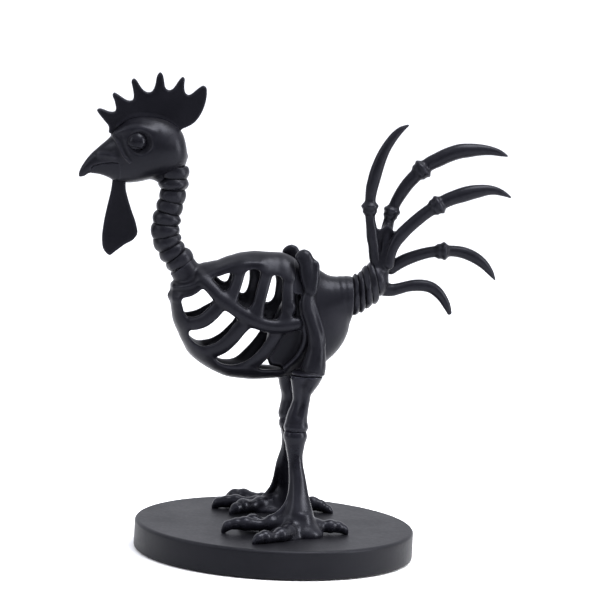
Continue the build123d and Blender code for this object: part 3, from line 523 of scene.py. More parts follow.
floor_me = bpy.data.meshes.new("floor")
floor_me.from_pydata([(-9, -9, 0), (9, -9, 0), (9, 9, 0), (-9, 9, 0)], [], [(0, 1, 2, 3)])
floor = bpy.data.objects.new("floor", floor_me)
scene.collection.objects.link(floor)
floor_mat = bpy.data.materials.new("pale_floor")
nt, bsdf = nodes_of(floor_mat)
cloud = noise(nt, object_coord(nt), 6.0, 3.0)
nt.links.new(mix(nt, cloud, (0.93, 0.93, 0.93), (0.95, 0.95, 0.95)), bsdf.inputs["Base Color"])
bsdf.inputs["Roughness"].default_value = 0.9
floor_me.materials.append(floor_mat)

# ------------------------------------------------------------------ plinth
PLINTH_R, PLINTH_TOP, PLINTH_LOW = 86.7, 18.6, 0.6


def plinth():
    prof = [(0.0, PLINTH_TOP), (30.0, PLINTH_TOP), (60.0, PLINTH_TOP), (78.0, PLINTH_TOP), (83.6, PLINTH_TOP)]
    r = 2.1
    for a in np.linspace(0, math.pi / 2, 9):
        prof.append((PLINTH_R - r + r * math.sin(a), PLINTH_TOP - r + r * math.cos(a)))
    for z in np.linspace(PLINTH_TOP - r, PLINTH_LOW + 1.6, 7)[1:-1]:
        prof.append((PLINTH_R, z))
    r = 1.6
    for a in np.linspace(0, math.pi / 2, 7):
        prof.append((PLINTH_R - r + r * math.cos(a), PLINTH_LOW + r - r * math.sin(a)))
    prof += [(82.0, PLINTH_LOW), (80.2, PLINTH_LOW), (80.2, 1.6), (60.0, 1.6), (0.0, 1.6)]
    n = 288
    t = np.linspace(0, 2 * math.pi, n, endpoint=False)
    loops, relief = [], []
    for i, (rr, z) in enumerate(prof):
        loops.append(np.stack([rr * np.cos(t), rr * np.sin(t), np.full(n, z)], 1))
        # the rounded top edge is marked convex so the paint lightens it: rubbed wear and a painted highlight
        relief.append(np.full(n, -0.5 if 5 <= i <= 13 and 85.1 < rr < 86.6 else 0.0))
    ob = rings_mesh("plinth_board", np.array(loops)[::-1], relief=np.array(relief)[::-1].ravel())
    weld(ob)
    done(ob, PLINTH_PAINT, "plinth_paint", "base_plinth")


plinth()
keep_node("base_felt_pad", FELT)
for n in ("foot_screws", "foot_washers", "leg_dowels", "neck_rod", "tail_rod"):
    keep_node(n, STEEL)

# ------------------------------------------------------------------ body barrel
BARREL = np.array([(-71.5, 163.8, 155.6, 3.2), (-70.8, 166.0, 152.2, 5.2), (-69.0, 168.6, 146, 8.0), (-64.2, 174, 133.6, 12.2), (-57, 178.5, 123.4, 16.2),
                   (-48, 180.2, 116.3, 19), (-36, 185.1, 111.3, 20.8), (-20, 188.2, 109.2, 21.4), (-5, 188.0, 110.3, 20.6),
                   (8, 182.7, 112.7, 18.6), (20, 178.0, 117, 16.2), (29, 171, 123.8, 13.6), (36, 163, 132.6, 9),
                   (39.3, 154, 141, 4), (40.3, 149.0, 147.0, 0.8)])
b_top, b_low, b_half = (monotone(BARREL[:, 0], BARREL[:, i]) for i in (1, 2, 3))


def barrel(field):
    x, y, z = field.all()
    t, l, w = (f(x.astype(float)) for f in (b_top, b_low, b_half))
    h = (t - l) / 2
    zz = z - (t + l) / 2
    k0 = np.sqrt((y / w)**2 + (zz / h)**2) + 1e-6
    k1 = np.sqrt((y / w**2)**2 + (zz / h**2)**2) + 1e-6
    d = k0 * (k0 - 1) / k1
    beyond = np.maximum(np.maximum(BARREL[0, 0] - x, x - BARREL[-1, 0]), 0)
    field.d = (d + 3.0 * beyond).astype(F32)
    field.even()


COLLAR_EDGE = [(-68.0, 157.4), (-65.0, 159.0), (-59.8, 161.1), (-55.1, 164.5), (-51.6, 168.6), (-47.5, 175.5), (-45.5, 187.0)]
COLLAR_RIDGE = [(-70.8, 166.0), (-66.8, 166.4), (-59.9, 168.5), (-55.2, 171.5), (-50.3, 174.8), (-46.2, 176.8), (-41.0, 179.2), (-34.0, 181.7), (-26.0, 183.0), (-18.0, 183.2)]
SPINE_EDGE = [(-52.2, 172.0), (-44.6, 173.4), (-37.2, 176.2), (-26.4, 178.6), (-18.1, 178.9), (-10.7, 176.9), (0.0, 174.2), (10.3, 171.9)]
KEEL_EDGE = [(-67.0, 160.5), (-65.0, 155.0), (-62.0, 142.1), (-60.0, 136.4), (-54.8, 130.3), (-47.6, 124.5), (-39.0, 119.6),
             (-27.7, 117.0), (-17.9, 116.6), (-6.1, 116.6), (3.0, 117.0)]
PELVIS_EDGE = [(1.6, 195.0), (1.6, 173.5), (1.8, 165.6), (7.4, 164.6), (8.0, 160.0), (9.7, 147.1), (11.4, 139.6), (10.4, 132.5), (7.9, 126.5), (0.8, 118.2), (-3.5, 104.0)]
BAR_LINE = {-1: [(-54.5, 173.4), (-48.6, 168.1), (-44.0, 163.3), (-37.1, 158.2), (-29.6, 153.0), (-21.0, 148.3), (-11.6, 145.8), (-2.2, 145.8), (6.0, 147.4)],
            1: [(-54.5, 174.7), (-49.7, 171.3), (-42.0, 164.6), (-35.4, 160.3), (-27.5, 155.6), (-22.4, 153.7), (-11.0, 150.5), (-4.1, 150.0), (6.0, 151.1)]}
RIBS = {-1: [([(-30.2, 183.0), (-31.3, 178.5), (-33.0, 172.7), (-34.6, 167.3), (-37.2, 160.0)], 2.7),
             ([(-14.6, 183.6), (-15.0, 178.0), (-17.2, 169.2), (-19.1, 161.4), (-20.6, 151.5)], 3.0),
             ([(-1.2, 182.7), (-1.0, 176.5), (-1.5, 167.8), (-1.5, 158.7), (-2.0, 149.5)], 3.4),
             ([(-38.7, 160.6), (-43.1, 156.5), (-47.3, 151.3), (-53.0, 146.3), (-57.5, 144.4), (-62.6, 143.8), (-67.8, 144.0)], 3.6),
             ([(-23.0, 151.5), (-26.6, 146.9), (-29.8, 143.3), (-34.7, 136.4), (-40.9, 130.0), (-46.4, 127.1), (-53.7, 125.3)], 3.6),
             ([(-2.9, 146.4), (-7.1, 139.7), (-11.0, 132.1), (-15.0, 126.1), (-21.0, 119.8), (-26.7, 116.6), (-33.2, 113.8)], 3.4)],
        1: [([(-28.4, 183.5), (-28.9, 179.6), (-29.8, 174.1), (-30.5, 169.4), (-30.7, 164.8), (-31.9, 157.5)], 2.8),
            ([(-19.5, 184.0), (-18.9, 179.9), (-17.8, 173.8), (-17.4, 168.2), (-18.1, 161.6), (-19.7, 153.0)], 3.0),
            ([(-4.0, 182.5), (-3.2, 177.9), (-1.7, 172.6), (-0.8, 168.7), (-0.8, 161.5), (-2.0, 151.5)], 3.0),
            ([(-36.5, 161.5), (-39.0, 154.0), (-41.6, 150.6), (-46.0, 147.9), (-52.9, 144.5), (-58.0, 143.5), (-67.0, 144.0)], 3.5),
            ([(-21.5, 154.5), (-23.8, 145.0), (-26.7, 139.6), (-30.6, 135.2), (-35.4, 130.8), (-43.1, 126.8), (-51.4, 125.6), (-58.0, 124.5)], 3.5),
            ([(-4.5, 151.0), (-6.3, 144.1), (-9.6, 134.7), (-13.4, 129.0), (-19.1, 122.6), (-25.1, 117.5), (-32.6, 114.2)], 3.4)]}


def rib_cage():
    f = Field((-78, -25, 106), (14, 25, 194), 0.55)
    barrel(f)
    depth = f.d - F32(0.4)
    x, z = f.ax[0][:, None].astype(float), f.ax[2][None, :].astype(float)
    y = f.ax[1]

    def side(v):
        return v[:, None, :]

    def band(line, half, thick, centre):
        q1 = side(outline_distance(curve(line, 10), x, z, closed=False))
        q2 = np.abs(depth + centre)
        return ((np.sqrt((q1 / half)**2 + (q2 / thick)**2) - 1) * min(half, thick)).astype(F32)

    wall = np.abs(depth + 2.3) - 2.3
    spine = curve(SPINE_EDGE, 8).tolist() + [(12, 205), (-53.5, 205)]
    keel = curve(KEEL_EDGE, 8).tolist() + [(3, 95), (-95, 95), (-95, 158.8)]
    collar = curve(COLLAR_EDGE, 8).tolist() + [(-45.5, 205), (-95, 205), (-95, 158.6)]
    common = smin(smax(side(outline_distance(spine, x, z)), wall, 2.0), smax(side(outline_distance(keel, x, z)), wall, 2.0), 2.6)
    common = smin(common, smax(side(outline_distance(collar, x, z)), depth, 2.0), 2.6)
    common = smin(common, band(COLLAR_RIDGE, 1.4, 1.5, 0.5), 2.2)
    pelvis = [(px + 2.0, pz) for px, pz in PELVIS_EDGE] + [(80, 104), (80, 195)]
    stop = side(outline_distance(pelvis, x, z))
    halves = []
    for s in (-1, 1):
        out = common
        for i, (line, half) in enumerate(RIBS[s]):
            lean = 0.9 if s < 0 else -0.6
            line = [(px + (lean if i < 3 else 0.1), pz) for px, pz in line]
            out = smin(out, band(line, half + (0.65 if i != 4 else 0.9), 2.3, 2.2), 3.0)
        line = [(px, pz - (0.45 if s < 0 else 0.9)) for px, pz in BAR_LINE[s]]
        bar = band(line, 3.9 if s < 0 else 4.5, 3.2, 1.4)
        halves.append(smin(smax(smin(out, bar, 1.8), -stop, 0.6), bar, 0.8))
    share = np.clip((y + 1.5) / 3.0, 0, 1)[None, :, None]
    f.d = (halves[0] * (1 - share) + halves[1] * share).astype(F32)
    # flared foot of the neck
    f.tube([(-68.0, 0, 181.1, 8.6), (-64.4, 0, 176.3, 8.8), (-60.2, 0, 170.5, 9.2)], k=1.6)
    f.plane((-65.85, 0, 178.5), (-4.5, 0, 5.4), 0.8)
    # knob at the foot of the last upper rib
    f.ball((1.4, -18.6, 157.0), (2.4, 2.2, 3.6), 2.0)
    done(skin(f, "rib_cage"), PAINT, "black_casting", "neck_collar", "spine_bar", "breast_keel",
         *[s + n for s in ("left_", "right_") for n in ("side_bar", "upper_rib_1", "upper_rib_2", "upper_rib_3",
                                                       "lower_rib_1", "lower_rib_2", "lower_rib_3")])


rib_cage()

TAIL_FACES = [((40.5, 174.7), (41.3, 149.7)), ((43.3, 177.2), (45.6, 151.5)), ((46.1, 180.0), (49.8, 154.3)),
              ((49.0, 182.8), (53.9, 157.7)), ((52.1, 185.3), (58.0, 161.4))]
NECK = [(-73.2, 236.0, 9.2), (-73.3, 228.6, 9.5), (-73.4, 221.3, 8.4), (-74.8, 214.2, 8.3), (-76.5, 206.9, 8.8),
        (-77.0, 199.6, 9.1), (-75.4, 192.7, 9.1), (-71.9, 186.7, 8.6), (-67.3, 181.6, 9.1)]
NECK_TOP, NECK_END = (-73.1, 243.4), (-63.6, 175.8)


CORE = [(-2.0, 181.0), (-2.0, 158.0), (-6.0, 149.0), (-10.0, 138.0), (-11.4, 130.0), (-10.6, 123.4), (-8.4, 118.4), (4.0, 116.0), (22.0, 119.0), (22.0, 181.0)]


def pelvis():
    f = Field((-14, -22, 106), (46, 22, 196), 0.55)
    barrel(f)
    depth = f.d - F32(0.3)
    x, z = f.ax[0][:, None].astype(float), f.ax[2][None, :].astype(float)
    y = f.ax[1][None, :, None]
    region = outline_distance(PELVIS_EDGE + [(80, 104), (80, 195)], x, z)[:, None, :]
    rim_line = curve(PELVIS_EDGE[4:10], 8)
    q1 = outline_distance(rim_line, x, z, closed=False)[:, None, :]
    rim = ((np.sqrt((q1 / 1.9)**2 + (np.abs(depth + 1.1) / 1.6)**2) - 1) * 1.6).astype(F32)
    core = smax(outline_distance(CORE, x, z)[:, None, :], np.abs(y) - 5.5, 3.0)
    f.d = smin(smin(smax(region, depth, 1.6), rim, 2.6), smax(core, depth + 4.0, 2.0), 3.0)
    f.tube([(21, 0, 155.6, 13.8), (30, 0, 160.2, 13.8), (36, 0, 161.7, 13.1), (44, 0, 163.0, 12.1)], k=5.0)
    turn = np.linspace(0, 2 * math.pi, 33)
    for back, r in ((3.0, 11.45), (6.6, 11.6), (10.4, 11.3)):
        f.tube([(40.9 - back - 0.10 * r * math.cos(t), r * math.sin(t), 162.2 - 0.10 * back + r * math.cos(t), 1.25) for t in turn], k=1.8, per=1)
    (tx, tz), (bx, bz) = TAIL_FACES[0]
    f.plane(((tx + bx) / 2, 0, (tz + bz) / 2), (tz - bz, 0, bx - tx), 0.9)
    done(skin(f, "pelvis_rump"), PAINT, "black_casting", "pelvis")


pelvis()


# ------------------------------------------------------------------ neck and tail rings
def turned(name, node, centres, axes, r, r_in, seed):
    """One vertebra: a bead between two faces, given its centre line, face axes and radii."""
    n = 96
    t = np.linspace(0, 2 * math.pi, n, endpoint=False)
    loops, relief = [], []
    count = len(centres)
    fat = 2.1 + 0.5 * math.sin(seed * 2.3)
    for j in range(count):
        s = -1 + 2 * j / (count - 1)
        c, side = centres[j], axes[j] / np.linalg.norm(axes[j])
        edge = r_in[0] if s < 0 else r_in[1]
        bulge = math.cos(s * math.pi / 2)**(0.62 if fat > 2.1 else 0.74)
        rr = edge + (r - edge) * bulge
        wob = 1 + (1.0 if seed < 20 else 1.7) * bulge * (0.018 * np.sin(2 * t + seed * 1.7) + 0.015 * np.sin(3 * t + seed * 2.9 + s)
                           + 0.013 * np.sin(5 * t + seed * 0.7 - s) + 0.006 * np.sin(9 * t + seed * 1.3 + 2 * s))
        loops.append(np.stack([c[0] + side[0] * rr * wob * np.cos(t), 0.97 * rr * wob * np.sin(t), c[1] + side[1] * rr * wob * np.cos(t)], 1))
        # ring ends marked as hollows, middles as convex: painted shade in the grooves between rings and a lighter
        # middle on each bead (wear and painted highlight)
        relief.append(np.full(n, -0.30 * (1 - abs(s)) + 0.55 * abs(s)**3))
    for j in (0, -1):
        loops.insert(0 if j == 0 else len(loops), loops[j].mean(0) + (loops[j] - loops[j].mean(0)) * 0.3)
        relief.insert(0 if j == 0 else len(relief), relief[j])
    done(rings_mesh(name, loops, bored=True, relief=np.array(relief).ravel()), PAINT, "black_casting", node)


def neck_ring(i, waist):
    path = [NECK_TOP] + [(x, z) for x, z, r in NECK] + [NECK_END]
    radii = [r for x, z, r in NECK]
    pa, pb, pc = (np.array(path[i + j], float) for j in range(3))
    p0, p2 = (pa + pb) / 2, (pb + pc) / 2
    d0, d2 = (pb - p0) / np.linalg.norm(pb - p0), (p2 - pb) / np.linalg.norm(p2 - pb)
    u = np.linspace(0, 1, 21)[:, None]
    centres = (1 - u)**2 * p0 + 2 * u * (1 - u) * pb + u**2 * p2
    along = d0 * (1 - u) + d2 * u
    r = radii[i]
    r_in = [min(r, radii[max(i - 1, 0)]) - waist, min(r, radii[min(i + 1, len(radii) - 1)]) - waist]
    turned("neck_vertebra_%d" % (i + 1), "neck_ring_%d" % (i + 1), centres, np.stack([-along[:, 1], along[:, 0]], 1), r, r_in, i + 1)


def tail_ring(i, waist):
    (t0, b0), (t1, b1) = (np.array(TAIL_FACES[i + j], float) for j in range(2))
    u = np.linspace(0, 1, 21)[:, None]
    top, low = t0 + (t1 - t0) * u, b0 + (b1 - b0) * u
    h0, h1 = np.linalg.norm(t0 - b0) / 2, np.linalg.norm(t1 - b1) / 2
    turned("tail_vertebra_%d" % (i + 1), "tail_ring_%d" % (i + 1), (top + low) / 2, top - low, (h0 + h1) / 2 - 0.1,
           [h0 - waist, h1 - waist], i + 20)


for i in range(len(NECK)):
    neck_ring(i, 1.2 + 0.25 * math.sin(i * 2.1))
for i in range(len(TAIL_FACES) - 1):
    tail_ring(i, 1.35 + 0.4 * math.sin(i * 1.9))

# ------------------------------------------------------------------ legs
KNEE_Z, ANKLE_Z = 116.0, 81.0


HIP = [(8.5, 192.3), (11.7, 191.0), (13.9, 187.6), (17.2, 184.9), (18.1, 179.5), (17.4, 171.0), (14.6, 166.6), (11.0, 167.4), (8.2, 171.1),
       (6.0, 177.4), (5.4, 182.9), (2.8, 187.2), (4.9, 190.8)]


def thigh(side, hip_dx, line, ridge, knee):
    sy = -1 if side == "left" else 1
    pts = [(x, sy * y, z, r) for x, y, z, r in line]
    f = Field((hip_dx - 2, min(sy * 5, sy * 35), 112), (26, max(sy * 5, sy * 35), 196), 0.45)
    f.tube(pts, per=8)
    # hip blade: one broad smooth leaf with a knob behind it
    x, z = f.ax[0][:, None].astype(float), f.ax[2][None, :].astype(float)
    shift = hip_dx * np.clip((z - 150) / 38, 0, 1)
    leaf = outline_distance(curve(HIP + HIP[:1], 5)[:-1], x - shift, z + 0 * x)[:, None, :]
    lie = sy * (9.4 + np.clip(192 - z, 0, 30) * 0.245)
    thick = np.abs(f.ax[1][None, :, None] - lie[:, None, :].astype(F32)) - F32(2.8)
    f.d = smin(f.d, smax(leaf, thick.astype(F32), 3.2).astype(F32), 2.4)

    def face(px, pz, out, r):
        return (px + hip_dx * min(max((pz - 150) / 38, 0), 1), sy * (9.4 + (192 - pz) * 0.245 + out), pz, r)

    f.tube([face(9.4, 187.0, 0.9, 2.4), face(11.0, 179.0, 1.2, 2.6), face(12.2, 170.0, 1.1, 2.4)], k=4.0)
    f.ball(face(16.0, 182.6, 1.4, 0)[:3], (1.9, 1.7, 2.8), 1.4)
    f.tube([face(15.8, 180.0, 1.2, 1.0), face(15.6, 174.0, 1.4, 1.0), face(15.0, 167.0, 1.6, 1.0)], k=2.8)
    f.tube([(a, sy * b, c, r) for a, b, c, r in ridge], k=1.8)
    # collar at the knee
    kx, ky = knee
    f.ball((kx, sy * ky, 117.0), (10.3, 9.8, 1.9), 0.5)
    f.plane((0, 0, KNEE_Z), (0, 0, -1), 0.5)
    done(skin(f, side + "_thigh_bone"), PAINT, "black_casting", side + "_thigh")


thigh("left", 0.0, [(13.0, 14.6, 168.0, 2.8), (11.4, 15.6, 163.0, 4.2), (11.4, 17.2, 157.0, 4.7), (13.6, 19.3, 150.5, 4.5), (16.4, 21.3, 142.0, 4.7),
                    (17.8, 21.5, 133.0, 5.5), (17.1, 21.6, 124.0, 7.0), (16.6, 21.6, 120.2, 7.6), (16.0, 21.6, 115.5, 7.0)],
      [(13.8, 16.0, 165.0, 1.0), (16.6, 19.4, 155.3, 1.2), (19.8, 22.6, 146.0, 1.3), (21.8, 22.6, 136.0, 1.2)], (13.5, 21.6))
thigh("right", -5.6, [(9.6, 14.6, 168.0, 2.6), (9.8, 16.0, 163.0, 3.2), (10.4, 17.6, 155.0, 3.9), (12.4, 19.5, 149.5, 3.9), (14.6, 21.3, 142.0, 4.5),
                      (15.4, 21.5, 133.0, 5.4), (14.2, 21.6, 124.0, 6.7), (13.4, 21.6, 120.2, 7.0), (13.0, 21.6, 115.5, 6.6)],
      [(10.8, 16.0, 165.0, 1.0), (14.2, 19.4, 155.3, 1.2), (17.6, 22.6, 146.0, 1.3), (19.4, 22.6, 136.0, 1.2)], (10.2, 21.6))


def shank(side, line, shin, flute):
    sy = -1 if side == "left" else 1
    pts = [(x, sy * y, z, r) for x, y, z, r in line]
    xs, ys = [p[0] for p in pts], [p[1] for p in pts]
    f = Field((min(xs) - 12, min(ys) - 12, 78), (max(xs) + 12, max(ys) + 12, 119), 0.42)
    f.tube(pts, per=8)
    f.tube([(x, sy * y, z, r) for x, y, z, r in flute], k=3.0, cut=True)
    f.tube([(x, sy * y, z, r) for x, y, z, r in shin], k=3.2)
    f.ball((pts[-1][0] + 0.2, pts[-1][1], 83.6), (7.15, 7.1, 2.4), 2.2)
    f.plane((0, 0, KNEE_Z - 0.12), (0, 0, 1), 1.0)
    f.plane((0, 0, ANKLE_Z + 0.04), (0, 0, -1), 0.5)
    done(skin(f, side + "_shank_bone"), LEG_PAINT, "black_casting", side + "_shank")


shank("left", [(13.0, 21.6, 117.5, 9.9), (12.1, 21.6, 114.2, 9.1), (11.3, 21.6, 110.4, 7.6), (10.4, 21.7, 105.5, 5.9), (10.2, 21.8, 100.0, 5.3),
               (9.3, 22.0, 95.5, 5.6), (8.0, 22.1, 89.5, 6.5), (7.7, 22.2, 84.5, 7.0), (7.4, 22.3, 79.0, 6.8)],
      [(5.6, 25.0, 113.0, 1.9), (6.8, 24.4, 106.0, 1.7), (7.3, 24.2, 100.0, 1.7), (6.2, 24.4, 95.5, 1.6), (4.4, 25.0, 90.0, 1.5), (3.4, 25.2, 84.0, 1.4)],
      [(12.4, 32.6, 112.0, 2.6), (10.2, 28.2, 105.0, 1.6), (9.4, 27.4, 99.0, 1.3), (8.2, 28.8, 92.0, 1.0)])
shank("right", [(10.0, 21.6, 117.5, 10.0), (9.5, 21.6, 114.2, 9.5), (8.4, 21.7, 110.4, 8.0), (7.4, 21.8, 106.2, 6.6), (7.6, 22.0, 101.5, 5.6),
                (8.9, 22.2, 97.5, 5.4), (9.9, 22.5, 92.0, 6.1), (9.7, 22.7, 87.0, 7.0), (9.5, 22.9, 84.0, 7.2), (9.6, 23.0, 79.0, 6.9)],
      [(2.6, 24.2, 112.0, 1.8), (3.6, 24.4, 105.0, 1.7), (5.0, 24.4, 98.0, 1.6), (5.3, 24.8, 92.0, 1.5), (4.5, 25.2, 85.0, 1.4)],
      [(9.4, 32.6, 112.0, 2.6), (8.6, 28.4, 105.0, 1.6), (9.0, 27.6, 99.0, 1.3), (10.0, 29.2, 92.0, 1.0)])


def foot(side, tarsus, shin, pads, toes):
    pts = np.array(tarsus)
    every = np.vstack([pts] + [np.array(t) for t in toes])
    f = Field(every[:, :3].min(0) - 11, every[:, :3].max(0) + 11, 0.45)
    f.tube(tarsus, per=8)
    f.ball((pts[0][0] + 0.1, pts[0][1] - 0.1, 77.6), (6.9, 6.85, 3.8), 2.4)
    for c, r in pads:
        f.ball(c, r, 4.0)
    for toe in toes:
        # each toe: joints swell between slimmer bones, then a claw bent down to the board
        f.tube(toe, k=2.6, per=8)
        for (x, y, z, r), (xn, yn, zn, rn) in zip(toe[1:-2], toe[2:-1]):
            if r >= rn:
                f.ball((x, y, z + 0.3), (r + 0.45, r + 0.45, r + 0.35), 1.2)
    f.tube(shin, k=1.8)
    # the lower shin is flattened on its outer back side
    x, y, z = f.all()
    sy = -1 if side == "left" else 1
    order = np.argsort(pts[:, 2])
    cx, cy, cr = (np.interp(z, pts[order, 2], pts[order, i]) for i in (0, 1, 3))
    shave = 3.1 * np.sin(np.clip((z - 24.0) / 34.0, 0, 1) * math.pi) - 2.4
    v = (x - cx) * 0.49 + (y - cy) * 0.872 * sy - (cr - shave) - 1.2 * np.clip(34.0 - z, 0, None)
    f.d = smax(f.d, v.astype(F32), 2.4)
    f.plane((0, 0, 18.02), (0, 0, -1), 0.5)
    f.plane((0, 0, ANKLE_Z - 0.04), (0, 0, 1), 0.5)
    done(skin(f, side + "_foot_bones"), LEG_PAINT, "black_casting", side + "_foot")


foot("left",
     [(7.4, -22.4, 83.0, 6.7), (7.5, -22.9, 77.0, 6.6), (7.5, -24.0, 72.0, 5.85), (7.6, -25.3, 67.0, 4.9), (8.4, -27.0, 60.0, 4.45), (9.5, -29.2, 52.0, 5.1),
      (10.2, -31.3, 44.0, 6.0), (10.5, -33.0, 37.5, 7.2), (10.5, -34.2, 31.0, 9.0), (10.9, -34.6, 25.0, 10.4), (11.2, -34.8, 15.0, 11.2)],
     [(3.4, -24.6, 77.0, 1.4), (5.2, -26.4, 67.0, 1.4), (5.8, -28.4, 58.0, 1.5), (6.2, -30.4, 50.0, 1.6), (5.4, -32.2, 43.5, 1.6), (3.0, -33.4, 37.6, 1.5),
      (-1.2, -34.6, 31.8, 1.8), (-7.0, -35.2, 28.4, 1.8)],
     [((13.5, -38.5, 20.0), (12.5, 10.0, 6.5)), ((1.5, -45.0, 19.0), (9.4, 9.4, 4.6)), ((-2.0, -31.5, 19.5), (11.0, 8.0, 4.4))],
     [[(8.0, -34.6, 26.0, 7.5), (-6.5, -35.2, 24.7, 4.4), (-12.5, -35.6, 24.0, 3.5), (-22.5, -36.0, 24.6, 4.0), (-28.0, -36.2, 24.4, 3.2), (-33.0, -36.4, 23.1, 2.7), (-35.0, -36.5, 20.8, 2.0), (-35.7, -36.6, 18.4, 1.0)],
      [(9.0, -37.0, 24.0, 7.0), (3.0, -48.6, 22.6, 4.4), (-2.6, -56.6, 22.4, 4.2), (-8.0, -60.6, 21.8, 3.2), (-13.0, -63.6, 22.2, 3.7), (-17.0, -66.0, 21.6, 2.7), (-19.4, -67.4, 20.2, 1.8), (-20.2, -67.9, 18.4, 0.9)],
      [(8.0, -33.0, 25.5, 7.0), (-4.0, -29.0, 24.6, 4.5), (-10.0, -26.6, 23.4, 3.5), (-16.4, -24.0, 23.9, 4.0), (-20.6, -22.4, 22.6, 2.9), (-22.9, -21.4, 20.6, 1.9), (-23.6, -21.0, 18.4, 0.9)],
      [(12.0, -34.5, 24.6, 7.0), (22.0, -32.8, 23.7, 4.3), (26.5, -32.0, 23.6, 3.7), (31.0, -31.3, 23.5, 3.8), (36.0, -30.5, 23.0, 3.2), (39.4, -30.1, 21.6, 2.5), (41.0, -29.9, 20.1, 1.7), (41.6, -29.8, 18.4, 0.9)]])
foot("right",
     [(9.7, 23.0, 83.0, 6.8), (9.8, 23.8, 77.5, 6.7), (10.4, 25.2, 72.5, 5.8), (10.5, 27.0, 67.0, 4.9), (10.1, 29.0, 61.0, 4.4), (9.4, 31.0, 55.0, 4.6),
      (9.0, 33.5, 48.5, 5.2), (9.6, 36.0, 42.5, 5.3), (10.7, 38.3, 37.0, 5.7), (11.0, 40.3, 31.0, 7.2), (10.6, 41.4, 25.0, 8.8), (10.0, 41.8, 15.0, 10.6)],
     [(5.2, 25.0, 77.0, 1.3), (7.0, 27.2, 67.0, 1.3), (7.0, 29.8, 60.0, 1.3), (5.4, 31.8, 53.0, 1.6), (4.4, 34.0, 46.0, 1.8), (4.0, 37.0, 39.5, 2.0), (2.4, 39.6, 33.0, 2.0),
      (-1.4, 41.4, 27.4, 1.8)],
     [((11.0, 46.0, 20.0), (12.0, 9.0, 6.0)), ((-1.0, 51.0, 19.5), (10.5, 10.5, 4.2)), ((-2.0, 37.5, 19.5), (11.0, 8.0, 4.2))],
     [[(7.0, 42.0, 22.6, 6.0), (-7.0, 42.2, 22.6, 4.0), (-13.0, 42.2, 22.6, 3.6), (-20.0, 42.2, 22.9, 4.1), (-26.0, 42.0, 22.7, 3.5), (-31.0, 41.8, 21.8, 2.8), (-33.2, 41.7, 20.2, 1.9), (-34.0, 41.6, 18.4, 0.9)],
      [(7.0, 43.0, 22.6, 6.0), (-2.0, 53.0, 22.6, 4.1), (-7.0, 57.8, 22.6, 3.8), (-12.8, 62.6, 22.9, 4.1), (-18.0, 66.6, 22.4, 3.5), (-21.2, 69.4, 21.0, 2.3), (-22.6, 71.0, 18.4, 0.9)],
      [(7.0, 40.5, 22.8, 6.0), (-5.0, 35.8, 23.4, 4.2), (-10.6, 32.6, 22.9, 3.5), (-17.0, 28.2, 23.1, 4.0), (-21.6, 24.8, 22.0, 2.9), (-24.2, 22.8, 20.4, 1.9), (-25.0, 22.2, 18.4, 0.9)],
      [(10.0, 42.0, 24.6, 7.0), (20.0, 41.0, 23.8, 4.5), (24.0, 40.4, 23.7, 3.9), (28.4, 39.4, 23.6, 4.1), (33.4, 38.0, 22.6, 3.3), (37.6, 36.8, 20.6, 2.4), (39.6, 36.2, 19.6, 1.7), (40.3, 36.0, 18.2, 0.9)]])

